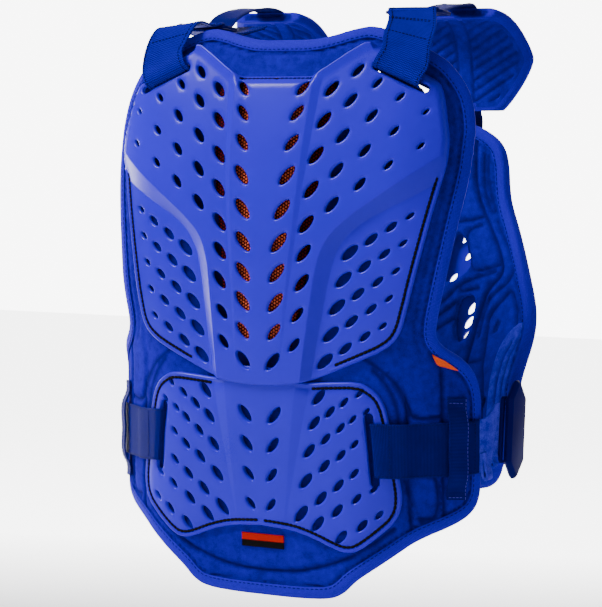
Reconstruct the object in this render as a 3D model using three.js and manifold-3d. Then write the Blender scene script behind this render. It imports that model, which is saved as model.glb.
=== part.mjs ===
// Roost deflector: a chest and back protector with hard shells on padded liners,
// joined over the shoulders and round the waist by webbing.
// Millimetres, +Z up, the chest faces -Y and the wearer's left is +X.
// The origin is between the shoulders, level with the shoulder straps' crest.
import * as THREE from "three";
import { mergeGeometries, mergeVertices } from "three/addons/utils/BufferGeometryUtils.js";
import Module from "manifold-3d";

const wasm = await Module();
wasm.setup();

// Torso form
const SEAT_TO_CHEST = 118; // origin forward to the liner's most forward line
const BUST_DROP = 200; // origin down to that line
const UPPER_BOW_RADIUS = 612; // how the chest leans back above it
const LOWER_BOW_RADIUS = 2045; // and below it
const SEAT_TO_BACK = 130; // origin back to the shoulder blades
const FLAT_RADIUS = 1000; // nearly flat middle of chest and back
const SIDE_RADIUS = 130; // how they turn round the ribs
const FLAT_HALF_CHEST = 118; // surface distance from the middle to the turn
const FLAT_HALF_WAIST = 85;
const TURN_CHEST_DROP = 250; // heights between which the turn moves inward
const TURN_WAIST_DROP = 350;
// Height and depth of the back as shares of PAD_HEIGHT and SEAT_TO_BACK
const BACK_PROFILE = [
  [0, 0.88], [0.11, 0.97], [0.27, 1], [0.46, 0.91], [0.69, 0.785], [0.9, 0.82]];

// Front liner
const COLLAR_DROP = 32; // origin down to the dip of the collar
const PAD_HEIGHT = 515;
const PAD_HALF = 214; // middle to the waist wing's edge, along the surface
const PAD_THICK = 9;
const BINDING_WIDTH = 3;
const BINDING_LIP = 0.8; // binding past the liner's two faces

// Hard shells
const SHELL_THICK = 3;
const SHELL_RAISE = 7; // breast plateau above the lateral panels
const BELLY_RAISE = 3;
const BEVEL_WIDTH = 9; // slope round the breast plateau
const CHEST_DROP = 66;
const CHEST_HEIGHT = 286;
const CHEST_HALF = 172;
const BELLY_TUCK = 18; // belly shell's top behind the breast shell's lower edge
const BELLY_HEIGHT = 168.5;
const BELLY_HALF = 137.5;

// Vents
const VENT_LENGTH = 20;
const VENT_ASPECT = 0.42; // width over length
const VENT_TILT = 50; // degrees up from level, in the middle
const SIDE_VENT_TILT = 42; // and in the lateral panels
const VENT_SMALLEST = 17; // shorter vents stay uncut here
const VENT_SIDES = 6;

// Back
const BACK_DROP = 75;
const BACK_HEIGHT = 377;
const BACK_HALF = 206;
const BACK_PAD_THICK = 10;
const BACK_SHELL_DROP = 110;
const BACK_SHELL_HEIGHT = 322;
const BACK_SHELL_HALF = 128;
const SPINE_RAISE = 6;
const SPINE_HALF = 44;
const WINDOW_HEIGHT = 46; // openings in the liner that show the shell
const WINDOW_WIDTH = 36;
const BACK_VENT_LENGTH = 15;

// Webbing and fittings
const WEBBING = 50;
const WEBBING_THICK = 1.8;
const NARROW_WEBBING = 30;
const SLOT_PLAY = 2.5; // slot past each edge of its strap
const SLOT_GAP = 7.5; // slot across the strap
const KEEPER_WIDTH = 20;
const KEEPER_HEIGHT = 94;
const BUCKLE_BAR = 5;
const BUCKLE_THICK = 3;
const SHOULDER_BUCKLE_DEPTH = 26;
const SHOULDER_CREST = 0; // height of the left strap's buckle
const CREST_SLUMP = 11; // how much lower the right strap's crest lies
const CAP_HALF = 57;
const CAP_THICK = 8;
const GUARD_HEIGHT = 92;
const GUARD_LENGTH = 38;
const GUARD_THICK = 8;
const TAB_THICK = 1.4;
const LABEL_WIDTH = 43;
const LABEL_HEIGHT = 13;
const LABEL_DROP = 15; // its middle below the belly shell
const MESH_THICK = 0.6;
const CLEAR = 0.3; // between pieces that touch
const SHELL_SEAT = 1.2; // shell over its liner, so that flat facets stay apart
const BACK_SEAT = 2.1; // further over the back liner, whose facets are larger
const FACET_WIDTH = 36; // widest facet round the ribs
const FACET_HEIGHT = 50;

const radians = THREE.MathUtils.degToRad;
const smooth = (a, b, x) => THREE.MathUtils.smoothstep(x, a, b);
const ramp = (x) => THREE.MathUtils.clamp(x, 0, 1);

// Torso surfaces: s runs round the body from the middle, z is the height

function section(s, flatHalf) {
  // Distance sideways and inward on the two arcs of the torso's section
  const size = Math.abs(s);
  const flat = Math.min(size, flatHalf) / FLAT_RADIUS;
  const turned = flat + Math.max(size - flatHalf, 0) / SIDE_RADIUS;
  const across = FLAT_RADIUS * Math.sin(flat)
    + SIDE_RADIUS * (Math.sin(turned) - Math.sin(flat));
  const inward = FLAT_RADIUS * (1 - Math.cos(flat))
    + SIDE_RADIUS * (Math.cos(flat) - Math.cos(turned));
  return [Math.sign(s) * across, inward];
}

function flatHalfAt(z) {
  const share = smooth(-TURN_WAIST_DROP, -TURN_CHEST_DROP, z);
  return THREE.MathUtils.lerp(FLAT_HALF_WAIST, FLAT_HALF_CHEST, share);
}

function chestSurface(s, z) {
  const [x, inward] = section(s, flatHalfAt(z));
  const above = z + BUST_DROP;
  const bow = above * above / (2 * (above > 0 ? UPPER_BOW_RADIUS : LOWER_BOW_RADIUS));
  return new THREE.Vector3(x, -SEAT_TO_CHEST + bow + inward, z);
}

function backSurface(s, z) {
  const [x, inward] = section(s, flatHalfAt(z));
  const share = (-COLLAR_DROP - z) / PAD_HEIGHT;
  let depth = BACK_PROFILE[0][1];
  for (let i = 1; i < BACK_PROFILE.length; i++) {
    const [a, b] = [BACK_PROFILE[i - 1], BACK_PROFILE[i]];
    if (share > a[0]) depth = THREE.MathUtils.lerp(a[1], b[1], smooth(a[0], b[0], share));
  }
  return new THREE.Vector3(x, SEAT_TO_BACK * depth - inward, z);
}

function normalOf(surface, s, z) {
  const step = 0.5;
  const along = surface(s + step, z).sub(surface(s - step, z));
  const up = surface(s, z + step).sub(surface(s, z - step));
  const outward = surface === backSurface ? -1 : 1;
  return along.cross(up).normalize().multiplyScalar(outward);
}

const place = (surface) => (s, z, h) =>
  surface(s, z).addScaledVector(normalOf(surface, s, z), h);
const onChest = place(chestSurface);
const onBack = place(backSurface);

// Panels: half outlines as shares of a half width and a height, from the middle out

const scaled = (table, half, top, height) =>
  table.map(([s, v]) => new THREE.Vector2(s * half, top - v * height));

function patch(outline) {
  // A grid of surface points between the panel's bottom, top and side edges
  const { bottom, side, top } = outline;
  const [low, high] = [side[0], side[side.length - 1]];
  const columns = bottom.length - 1;
  const grid = side.map((edge) => {
    const v = (edge.y - low.y) / (high.y - low.y);
    return bottom.map((base, i) => {
      const u = i === columns ? 1
        : (base.x / bottom[columns].x + top[i].x / top[columns].x) / 2;
      const across = base.clone().lerp(top[i], v);
      const middle = bottom[0].clone().lerp(top[0], v);
      const upright = middle.clone().lerp(edge, u);
      const lowCorner = bottom[0].clone().lerp(low, u);
      const highCorner = top[0].clone().lerp(high, u);
      return across.add(upright).sub(lowCorner.lerp(highCorner, v));
    });
  });
  const fine = divided(turnedGrid(divided(grid, FACET_HEIGHT)), FACET_WIDTH);
  const mirror = (row) => row.slice(1).reverse().map((p) => new THREE.Vector2(-p.x, p.y));
  return turnedGrid(fine).map((row) => [...mirror(row), ...row]);
}

const turnedGrid = (grid) => grid[0].map((_, c) => grid.map((row) => row[c]));

function divided(rows, limit) {
  // Adds rows wherever two neighbouring ones lie further apart than a facet may
  return rows.flatMap((row, r) => {
    if (r === 0) return [row];
    const before = rows[r - 1];
    const count = Math.ceil(Math.max(...row.map((p, c) => p.distanceTo(before[c]))) / limit);
    return Array.from({ length: count }, (_, k) =>
      row.map((p, c) => before[c].clone().lerp(p, (k + 1) / count)));
  });
}

function geometry(points, faces) {
  const result = new THREE.BufferGeometry();
  result.setAttribute("position", new THREE.Float32BufferAttribute(
    points.flatMap((p) => [p.x, p.y, p.z]), 3));
  result.setIndex(faces.flat());
  return result;
}

function slab(grid, outer, inner, put) {
  // A closed sheet over a grid, between two heights over the surface
  const rows = grid.length;
  const columns = grid[0].length;
  const cells = grid.flat();
  const points = [
    ...cells.map((p) => put(p.x, p.y, outer(p.x, p.y))),
    ...cells.map((p) => put(p.x, p.y, inner(p.x, p.y)))];
  const at = (r, c) => r * columns + c;
  const under = cells.length;
  const faces = [];
  for (let r = 0; r < rows - 1; r++) {
    for (let c = 0; c < columns - 1; c++) {
      const [a, b, d, e] = [at(r, c), at(r, c + 1), at(r + 1, c + 1), at(r + 1, c)];
      const leaning = c < columns / 2;
      const halves = leaning ? [[a, b, d], [a, d, e]] : [[a, b, e], [b, d, e]];
      for (const [i, j, k] of halves) faces.push([i, j, k], [under + k, under + j, under + i]);
    }
  }
  const rim = [];
  for (let c = 0; c < columns - 1; c++) rim.push(at(0, c));
  for (let r = 0; r < rows - 1; r++) rim.push(at(r, columns - 1));
  for (let c = columns - 1; c > 0; c--) rim.push(at(rows - 1, c));
  for (let r = rows - 1; r > 0; r--) rim.push(at(r, 0));
  rim.forEach((a, i) => {
    const b = rim[(i + 1) % rim.length];
    faces.push([a, under + b, b], [a, under + a, under + b]);
  });
  return turned(geometry(points, faces), put === onBack);
}

function turned(shape, flip) {
  if (flip) {
    const index = shape.index.array;
    for (let i = 0; i < index.length; i += 3) {
      [index[i], index[i + 1]] = [index[i + 1], index[i]];
    }
  }
  return shape;
}

function mirrored(shape) {
  const copy = shape.clone().scale(-1, 1, 1);
  return turned(copy, true);
}

// A strip of webbing through stations, each with its two edge points and a normal
function strip(stations, thickness) {
  const points = [];
  for (const { from, to, normal } of stations) {
    const half = normal.clone().setLength(thickness / 2);
    points.push(from.clone().add(half), to.clone().add(half));
    points.push(to.clone().sub(half), from.clone().sub(half));
  }
  const faces = [[0, 1, 2], [0, 2, 3]];
  for (let i = 0; i < stations.length - 1; i++) {
    for (let k = 0; k < 4; k++) {
      const [a, b] = [4 * i + k, 4 * i + (k + 1) % 4];
      faces.push([a, a + 4, b + 4], [a, b + 4, b]);
    }
  }
  const last = 4 * (stations.length - 1);
  faces.push([last, last + 2, last + 1], [last, last + 3, last + 2]);
  return outward(geometry(points, faces));
}

function volume(shape) {
  const { array } = shape.attributes.position;
  const index = shape.index.array;
  const corner = (i) => new THREE.Vector3().fromArray(array, 3 * index[i]);
  let sum = 0;
  for (let i = 0; i < index.length; i += 3) {
    sum += corner(i).dot(corner(i + 1).cross(corner(i + 2)));
  }
  return sum / 6;
}

function indexed(shape) {
  shape.deleteAttribute("normal");
  shape.deleteAttribute("uv");
  return mergeVertices(shape);
}

const outward = (shape) => turned(shape, volume(shape) < 0);

// A bar of a section swept round a closed loop of frames
function ring(frames, outline) {
  const size = outline.length;
  const points = frames.flatMap(({ origin, out, up }) =>
    outline.map(([d, h]) => origin.clone().addScaledVector(out, d).addScaledVector(up, h)));
  const faces = [];
  frames.forEach((_, i) => {
    const next = ((i + 1) % frames.length) * size;
    for (let k = 0; k < size; k++) {
      const m = (k + 1) % size;
      const [a, b] = [i * size + k, i * size + m];
      faces.push([a, next + k, next + m], [a, next + m, b]);
    }
  });
  return outward(geometry(points, faces));
}

function toSolid(shape) {
  const mesh = new wasm.Mesh({
    numProp: 3,
    vertProperties: new Float32Array(shape.attributes.position.array),
    triVerts: new Uint32Array(shape.index.array),
  });
  mesh.merge();
  return new wasm.Manifold(mesh);
}

function fromSolid(solid) {
  const { vertProperties, triVerts } = solid.getMesh();
  const result = new THREE.BufferGeometry();
  result.setAttribute("position", new THREE.BufferAttribute(vertProperties, 3));
  result.setIndex(new THREE.BufferAttribute(triVerts, 1));
  return result;
}

const cut = (shape, cutters) =>
  fromSolid(toSolid(shape).subtract(toSolid(mergeGeometries(cutters))));

// An elliptical or slotted punch through a panel
function punch(put, s, z, length, width, tilt, sides, reach) {
  const lean = radians(tilt);
  const centre = put(s, z, 0);
  const along = put(s + Math.cos(lean), z + Math.sin(lean), 0).sub(centre).normalize();
  const normal = put(s, z, 1).sub(centre).normalize();
  const across = new THREE.Vector3().crossVectors(normal, along);
  const tool = new THREE.CylinderGeometry(0.5, 0.5, 2 * reach, sides);
  tool.deleteAttribute("normal");
  tool.deleteAttribute("uv");
  const frame = new THREE.Matrix4().makeBasis(
    along.multiplyScalar(length), normal, across.multiplyScalar(-width));
  return outward(tool.applyMatrix4(frame).translate(centre.x, centre.y, centre.z));
}

function slot(put, from, to, width, reach) {
  // A straight opening with square ends between two surface points
  const stations = [from, to].map((p) => {
    const normal = normalOf(chestSurface, p.x, p.y);
    return { centre: put(p.x, p.y, 0), normal };
  });
  const run = stations[1].centre.clone().sub(stations[0].centre).normalize();
  return strip(stations.map(({ centre, normal }) => {
    const side = new THREE.Vector3().crossVectors(run, normal).normalize();
    const half = normal.clone().multiplyScalar(reach);
    return { from: centre.clone().sub(half), to: centre.clone().add(half), normal: side };
  }), width);
}

// Outlines

const PAD_TOP = -COLLAR_DROP;
const padTable = (table) => scaled(table, PAD_HALF, PAD_TOP, PAD_HEIGHT);
const padOutline = {
  bottom: padTable([
    [0, 1], [0.168, 1], [0.3, 0.994], [0.369, 0.983], [0.519, 0.932], [0.701, 0.882],
    [0.888, 0.849], [0.972, 0.822]]),
  side: padTable([
    [0.972, 0.822], [1, 0.765], [1, 0.66],
    [0.97, 0.588], [0.89, 0.559], [0.79, 0.537], [0.762, 0.517], [0.785, 0.46],
    [0.85, 0.317], [0.893, 0.2], [0.897, 0.142], [0.874, 0.101], [0.832, 0.068]]),
  top: padTable([
    [0, 0], [0.159, -0.001], [0.3, -0.019], [0.41, -0.024], [0.5, -0.013], [0.598, 0.004],
    [0.72, 0.03], [0.832, 0.068]]),
};

const CHEST_TOP = -CHEST_DROP;
const chestTable = (table) => scaled(table, CHEST_HALF, CHEST_TOP, CHEST_HEIGHT);
const chestOutline = {
  bottom: chestTable([
    [0, 1], [0.14, 0.997], [0.25, 0.985], [0.36, 0.962], [0.51, 0.925], [0.66, 0.88],
    [0.721, 0.86]]),
  side: chestTable([
    [0.721, 0.86], [0.779, 0.79], [0.849, 0.661], [0.913, 0.531], [0.956, 0.42],
    [0.988, 0.322], [1, 0.224], [0.971, 0.098], [0.93, 0.042], [0.86, 0.003]]),
  top: chestTable([
    [0, 0], [0.238, 0], [0.355, -0.049], [0.477, -0.098], [0.564, -0.094],
    [0.802, -0.014], [0.86, 0.003]]),
};
// The slanting step between the breast plateau and the lateral panels
const stepInner = chestTable([
  [1.1, 0.182], [0.942, 0.255], [0.657, 0.385], [0.477, 0.462], [0.372, 0.524],
  [0.326, 0.605], [0.302, 0.71], [0.25, 0.972], [0.25, 1.2]]);
const stepOuter = chestTable([
  [1.2, 0.2], [1.023, 0.311], [0.733, 0.413], [0.541, 0.472], [0.448, 0.535],
  [0.401, 0.605], [0.349, 0.79], [0.297, 0.979], [0.297, 1.2]]);

const BELLY_TOP = BELLY_TUCK - CHEST_DROP - CHEST_HEIGHT;
const bellyTable = (table) => scaled(table, BELLY_HALF, BELLY_TOP, BELLY_HEIGHT);
const bellyOutline = {
  bottom: bellyTable([
    [0, 0.884], [0.218, 0.896], [0.32, 0.92], [0.524, 0.985], [0.618, 1], [0.713, 0.979],
    [0.851, 0.89]]),
  side: bellyTable([
    [0.851, 0.89], [0.975, 0.795], [1, 0.671], [0.971, 0.51], [0.902, 0.22],
    [0.785, 0.089]]),
  top: bellyTable([
    [0, 0], [0.19, 0], [0.25, 0.1], [0.371, 0.086], [0.48, 0.073], [0.67, 0.053],
    [0.785, 0.089]]),
};
// The raised middle narrows to a point: half width and height
const bellyKeel = bellyTable([[0.27, 0], [0.27, 0.1], [0.18, 0.82], [0.18, 1.1]]);

const BACK_TOP = -BACK_DROP;
const backTable = (table) => scaled(table, BACK_HALF, BACK_TOP, BACK_HEIGHT);
const backOutline = {
  bottom: backTable([[0, 1], [0.2, 1], [0.4, 0.995], [0.58, 0.99], [0.728, 0.981]]),
  side: backTable([
    [0.728, 0.981], [0.8, 0.955], [0.84, 0.91], [0.93, 0.885], [0.99, 0.85],
    [1, 0.7], [0.985, 0.599], [0.879, 0.469], [0.738, 0.308], [0.684, 0.247],
    [0.665, 0.151], [0.592, 0.072]]),
  top: backTable([[0, 0], [0.2, 0.003], [0.364, 0.021], [0.5, 0.045], [0.592, 0.072]]),
};
const shellBackTable = (table) =>
  scaled(table, BACK_SHELL_HALF, -BACK_SHELL_DROP, BACK_SHELL_HEIGHT);
const backShellOutline = {
  bottom: shellBackTable([[0, 1], [0.36, 0.99], [0.46, 0.98], [0.8, 0.94]]),
  side: shellBackTable([
    [0.8, 0.94], [0.92, 0.86], [0.98, 0.72], [1, 0.56], [0.93, 0.3], [0.86, 0.1],
    [0.76, 0.02]]),
  top: shellBackTable([[0, 0], [0.36, 0.005], [0.46, 0.008], [0.76, 0.02]]),
};

// Heights over the surface

function distanceTo(line, s, z) {
  // Shortest distance from a point to an open line of points
  let best = Infinity;
  for (let i = 1; i < line.length; i++) {
    const [a, b] = [line[i - 1], line[i]];
    const [dx, dy] = [b.x - a.x, b.y - a.y];
    const t = ramp(((s - a.x) * dx + (z - a.y) * dy) / (dx * dx + dy * dy));
    best = Math.min(best, Math.hypot(s - a.x - t * dx, z - a.y - t * dy));
  }
  return best;
}

function isOutside(line, s, z) {
  // True below or outboard of a line that runs down and inward
  for (let i = 1; i < line.length; i++) {
    const [a, b] = [line[i - 1], line[i]];
    if (z <= a.y && z >= b.y) {
      const t = (a.y - z) / (a.y - b.y);
      return s > a.x + t * (b.x - a.x);
    }
  }
  return z < line[0].y;
}

const chestRim = [...chestOutline.top, ...chestOutline.side.slice(0, -1).reverse()];

function chestLift(signed, z) {
  const s = Math.abs(signed);
  const bevel = ramp(distanceTo(chestRim, s, z) / BEVEL_WIDTH);
  let plateau = 1;
  if (isOutside(stepInner, s, z)) {
    const [inner, outer] = [distanceTo(stepInner, s, z), distanceTo(stepOuter, s, z)];
    plateau = isOutside(stepOuter, s, z) ? 0 : outer / (inner + outer);
  }
  return SHELL_SEAT + SHELL_RAISE * Math.min(bevel, plateau);
}

function bellyLift(signed, z) {
  const s = Math.abs(signed);
  const keel = bellyKeel.reduce((half, p, i) => {
    const q = bellyKeel[i + 1];
    return q && z <= p.y && z > q.y
      ? THREE.MathUtils.mapLinear(z, p.y, q.y, p.x, q.x) : half;
  }, bellyKeel[0].x);
  return SHELL_SEAT + BELLY_RAISE * (1 - ramp((s - keel) / BEVEL_WIDTH));
}

const backLift = (s) =>
  BACK_PAD_THICK + SHELL_SEAT + SPINE_RAISE * (1 - ramp((Math.abs(s) - SPINE_HALF) / BEVEL_WIDTH));

// Vent patterns: middle column, rows that run out and down, lateral rows out and up

const RIDGE_VENTS = [
  [0.178, 0.045], [0.162, 0.126], [0.148, 0.22], [0.137, 0.325], [0.119, 0.434],
  [0.108, 0.538], [0.102, 0.636], [0.099, 0.731], [0.093, 0.825], [0.087, 0.921]];
const BREAST_ROWS = [
  [0.474, -0.014, 4, 1], [0.34, 0.045, 5, 0], [0.317, 0.147, 4, 0], [0.292, 0.259, 3, 0],
  [0.278, 0.367, 2, 0], [0.26, 0.477, 1, 0], [0.252, 0.57, 1, 0], [0.248, 0.664, 1, 0],
  [0.227, 0.767, 1, 0], [0.213, 0.864, 1, 0]];
const BREAST_STEP = [0.13, 0.045];
const BREAST_LENGTHS = [0.95, 0.82, 0.72, 0.55, 0.4];
const LATERAL_STARTS = [
  [0.5, 0.563], [0.47, 0.649], [0.437, 0.738], [0.406, 0.825], [0.375, 0.913]];
const LATERAL_OFFSETS = [[0, 0, 1], [0.114, 0.044, 0.78], [0.223, 0.086, 0.65], [0.319, 0.122, 0.47]];
const BELLY_VENTS = [
  [0.111, 0.267, 0.97], [0.099, 0.433, 0.89], [0.088, 0.599, 0.77], [0.077, 0.766, 0.7],
  [0.431, 0.154, 0.89], [0.4, 0.297, 0.8], [0.364, 0.451, 0.8], [0.338, 0.617, 0.9],
  [0.301, 0.801, 0.97], [0.512, 0.231, 0.67], [0.483, 0.38, 0.67], [0.474, 0.528, 0.75],
  [0.447, 0.706, 0.82], [0.421, 0.849, 0.9], [0.612, 0.174, 0.57], [0.588, 0.315, 0.6],
  [0.592, 0.463, 0.64], [0.574, 0.629, 0.72], [0.563, 0.768, 0.77], [0.59, 0.911, 0.8],
  [0.715, 0.122, 0.47], [0.672, 0.264, 0.48], [0.687, 0.398, 0.51], [0.684, 0.558, 0.58],
  [0.7, 0.694, 0.6], [0.735, 0.839, 0.7], [0.765, 0.217, 0.4], [0.815, 0.635, 0.47],
  [0.847, 0.774, 0.51]];

function chestVents() {
  const vents = RIDGE_VENTS.map(([s, v]) => [s, v, 1, VENT_TILT]);
  for (const [s, v, count, first] of BREAST_ROWS) {
    for (let i = 0; i < count; i++) {
      const size = BREAST_LENGTHS[i + first];
      vents.push([s + i * BREAST_STEP[0], v + i * BREAST_STEP[1], size, VENT_TILT]);
    }
  }
  for (const [s, v] of LATERAL_STARTS) {
    for (const [ds, dv, size] of LATERAL_OFFSETS) {
      vents.push([s + ds, v - dv, size, SIDE_VENT_TILT]);
    }
  }
  return vents;
}

function ventPunches(vents, half, top, height) {
  const large = vents.filter((vent) => vent[2] * VENT_LENGTH >= VENT_SMALLEST);
  const reach = SHELL_RAISE + 2 * SHELL_THICK;
  return large.flatMap(([s, v, size, tilt = VENT_TILT]) =>
    [1, -1].map((side) => punch(
      onChest, side * s * half, top - v * height, size * VENT_LENGTH,
      size * VENT_LENGTH * VENT_ASPECT, side > 0 ? tilt : 180 - tilt, VENT_SIDES, reach)));
}

// Slots for the webbing, each between two surface points

const shoulderSlotMiddle = chestTable([[0.708, 0.007]])[0];
const SHOULDER_SLOT_SLOPE = -23.5; // degrees, falling outward
const waistSlotMiddle = bellyTable([[0.8, 0.427]])[0];
const WAIST_SLOT_SLOPE = -84.5;

function slotEnds(middle, slope, length, side) {
  const run = new THREE.Vector2(Math.cos(radians(slope)), Math.sin(radians(slope)));
  return [-1, 1].map((end) => {
    const p = middle.clone().addScaledVector(run, end * length / 2);
    return new THREE.Vector2(side * p.x, p.y);
  });
}

function slotPunches(middle, slope, length, gap) {
  return [1, -1].map((side) => {
    const [from, to] = slotEnds(middle, slope, length, side);
    return slot(onChest, from, to, gap, PAD_THICK + SHELL_RAISE + 2 * SHELL_THICK);
  });
}

const shoulderSlots = (extra) => slotPunches(
  shoulderSlotMiddle, SHOULDER_SLOT_SLOPE, WEBBING - 5 + 2 * SLOT_PLAY + extra, SLOT_GAP + extra);

// Shells and liners

function chestShell() {
  const grid = patch(chestOutline);
  const outer = (s, z) => chestLift(s, z) + SHELL_THICK;
  const blank = slab(grid, outer, chestLift, onChest);
  const vents = ventPunches(chestVents(), CHEST_HALF, CHEST_TOP, CHEST_HEIGHT);
  return cut(blank, [...vents, ...shoulderSlots(0)]);
}

function bellyShell() {
  const grid = patch(bellyOutline);
  const outer = (s, z) => bellyLift(s, z) + SHELL_THICK;
  const blank = slab(grid, outer, bellyLift, onChest);
  const vents = ventPunches(BELLY_VENTS, BELLY_HALF, BELLY_TOP, BELLY_HEIGHT);
  const slots = slotPunches(waistSlotMiddle, WAIST_SLOT_SLOPE, WEBBING + 10, SLOT_GAP);
  return cut(blank, [...vents, ...slots]);
}

function chestMesh() {
  // Spacer mesh under the vents beside the ridges
  const outline = {
    bottom: chestTable([[0, 0.92], [0.1, 0.92], [0.2, 0.92]]),
    side: chestTable([[0.2, 0.92], [0.25, 0.7], [0.28, 0.52], [0.33, 0.34], [0.36, 0.12]]),
    top: chestTable([[0, 0.06], [0.18, 0.06], [0.36, 0.12]]),
  };
  return slab(patch(outline), () => 2 * CLEAR + MESH_THICK, () => 2 * CLEAR, onChest);
}

function frontPad() {
  const blank = slab(patch(padOutline), () => 0, () => -PAD_THICK, onChest);
  return cut(blank, shoulderSlots(2));
}

function backWindows() {
  return [[0.38, 0.38], [0.47, 0.57]].flatMap(([s, v]) => [1, -1].map((side) => {
    const centre = backTable([[s, v]])[0];
    return punch(onBack, side * centre.x, centre.y, WINDOW_WIDTH * Math.SQRT2,
      WINDOW_HEIGHT * Math.SQRT2, 0, 4, 2 * BACK_PAD_THICK);
  }));
}

function backPad() {
  const blank = slab(patch(backOutline), () => BACK_PAD_THICK, () => 0, onBack);
  return cut(blank, backWindows());
}

function backVents() {
  const rows = [[0.4, 0.3], [0.44, 0.35], [0.48, 0.41], [0.5, 0.49], [0.52, 0.53], [0.5, 0.57]];
  const reach = 2 * BACK_PAD_THICK + SPINE_RAISE;
  return rows.flatMap(([s, v]) => [1, -1].map((side) => {
    const centre = backTable([[s, v]])[0];
    return punch(onBack, side * centre.x, centre.y, BACK_VENT_LENGTH,
      BACK_VENT_LENGTH * VENT_ASPECT, side > 0 ? VENT_TILT : 180 - VENT_TILT, VENT_SIDES, reach);
  }));
}

function backShell() {
  const outer = (s) => backLift(s) + SHELL_THICK;
  return cut(slab(patch(backShellOutline), outer, backLift, onBack), backVents());
}

// Edge binding, just outside a liner's edge

function loopOf(grid) {
  const right = grid.map((row) => row[row.length - 1]);
  const left = grid.map((row) => row[0]);
  return [...grid[0], ...right.slice(1), ...grid[grid.length - 1].slice(0, -1).reverse(),
    ...left.slice(1, -1).reverse()];
}

function binding(outline, put, low, high) {
  const loop = loopOf(patch(outline));
  const middle = (low + high) / 2;
  const frames = loop.map((p, i) => {
    const before = loop[(i + loop.length - 1) % loop.length];
    const after = loop[(i + 1) % loop.length];
    const arrive = p.clone().sub(before).normalize();
    const leave = after.clone().sub(p).normalize();
    const run = arrive.clone().add(leave).normalize();
    const stretch = 1 / Math.max(run.dot(leave), 0.6);
    const step = new THREE.Vector2(run.y, -run.x);
    const origin = put(p.x, p.y, middle);
    const out = put(p.x + step.x, p.y + step.y, middle).sub(origin).multiplyScalar(stretch);
    const up = put(p.x, p.y, middle + 1).sub(origin);
    return { origin, out, up };
  });
  const half = (high - low) / 2 + BINDING_LIP;
  const near = 2 * CLEAR;
  const far = near + BINDING_WIDTH;
  return ring(frames, [[near, -half], [far, -0.6 * half], [far, 0.6 * half], [near, half]]);
}

// Webbing: ribbons through stations with a centre and a direction across

function ribbon(stations, width, thickness) {
  return strip(stations.map(({ centre, side, half = width / 2 }, i) => {
    const before = stations[Math.max(i - 1, 0)].centre;
    const after = stations[Math.min(i + 1, stations.length - 1)].centre;
    const normal = side.clone().cross(after.clone().sub(before));
    const arm = side.clone().setLength(half);
    return { from: centre.clone().sub(arm), to: centre.clone().add(arm), normal };
  }), thickness);
}

const onLiner = SHELL_SEAT + WEBBING_THICK / 2; // webbing's middle over a liner
const onShell = SHELL_SEAT + SHELL_THICK + onLiner;
const barOver = WEBBING_THICK / 2 + 1.7 * CLEAR; // and round a buckle's bar

// A strap's way over a buckle's bar, from one side to the other: along and above it
const aroundBar = [
  [-BUCKLE_BAR / 2 - barOver, 0], [-BUCKLE_BAR / 2 - 0.8 * barOver, 0.8 * BUCKLE_THICK],
  [-BUCKLE_BAR / 2 + 0.2 * barOver, BUCKLE_THICK / 2 + barOver],
  [BUCKLE_BAR / 2 - 0.2 * barOver, BUCKLE_THICK / 2 + barOver],
  [BUCKLE_BAR / 2 + 0.8 * barOver, 0.8 * BUCKLE_THICK], [BUCKLE_BAR / 2 + barOver, 0]];

function chestStation(s, z, h, slope) {
  const run = new THREE.Vector2(Math.cos(radians(slope)), Math.sin(radians(slope)));
  return { centre: onChest(s, z, h), side: onChest(s + run.x, z + run.y, h).sub(onChest(s, z, h)) };
}

function crossing(middle, slope, forward, h) {
  // A station beside a slot: so far across its line, at a height over the surface
  const across = new THREE.Vector2(-Math.sin(radians(slope)), Math.cos(radians(slope)));
  const p = middle.clone().addScaledVector(across, forward);
  return chestStation(p.x, p.y, h, slope);
}

// Waist strap: out of the belly shell's slot, round the wing and into the buckle

const waistHeight = waistSlotMiddle.y;
const WAIST_RISE = 22; // the left strap climbs this much to its buckle
const WAIST_SLUMP = 17; // how much lower the right one's lies
const BUCKLE_STANDOFF = 12; // waist buckle outboard of the wings' edges
const BUCKLE_SHIFT = 4; // its middle behind the middle between them
const WAIST_BUCKLE_LENGTH = 41;
const buckleX = section(Math.max(PAD_HALF, BACK_HALF), FLAT_HALF_WAIST)[0] + BUCKLE_STANDOFF;
const buckleY = BUCKLE_SHIFT
  + (chestSurface(PAD_HALF, waistHeight).y + backSurface(BACK_HALF, waistHeight).y) / 2;
const buckleFront = buckleY - WAIST_BUCKLE_LENGTH / 2;
const upright = new THREE.Vector3(0, 0, 1);

const waistStation = (inset, y, rise) => ({
  centre: new THREE.Vector3(buckleX + inset, y, waistHeight + rise),
  side: upright,
});

function waistStrap(climb) {
  const through = (forward, h) => crossing(waistSlotMiddle, WAIST_SLOT_SLOPE, forward, h);
  const run = PAD_HALF - waistSlotMiddle.x;
  const over = (share, rise, h) => chestStation(
    waistSlotMiddle.x + share * run, waistHeight + rise * climb, h, 90);
  const bar = BUCKLE_THICK / 2 + barOver;
  const lining = onLiner + BINDING_LIP;
  return ribbon([
    through(1, SHELL_SEAT), through(1, SHELL_SEAT + 0.6 * SHELL_THICK),
    through(1.6, onShell - 0.5), through(4.5, onShell + 0.4),
    over(0.16, 0.02, onShell + 0.3), over(0.29, 0.04, onShell), over(0.4, 0.08, onLiner + 0.4),
    over(0.52, 0.12, onLiner), over(0.65, 0.16, onLiner), over(0.78, 0.2, onLiner),
    over(0.9, 0.26, lining), over(1.01, 0.36, lining + 1.5), over(1.08, 0.6, lining + 1.5),
    waistStation(-bar - 0.6, buckleFront - 4, climb),
    ...aroundBar.slice(2).map(([along, above]) =>
      waistStation(-above, buckleFront + BUCKLE_BAR / 2 + along, climb))],
  WEBBING, WEBBING_THICK);
}

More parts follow.
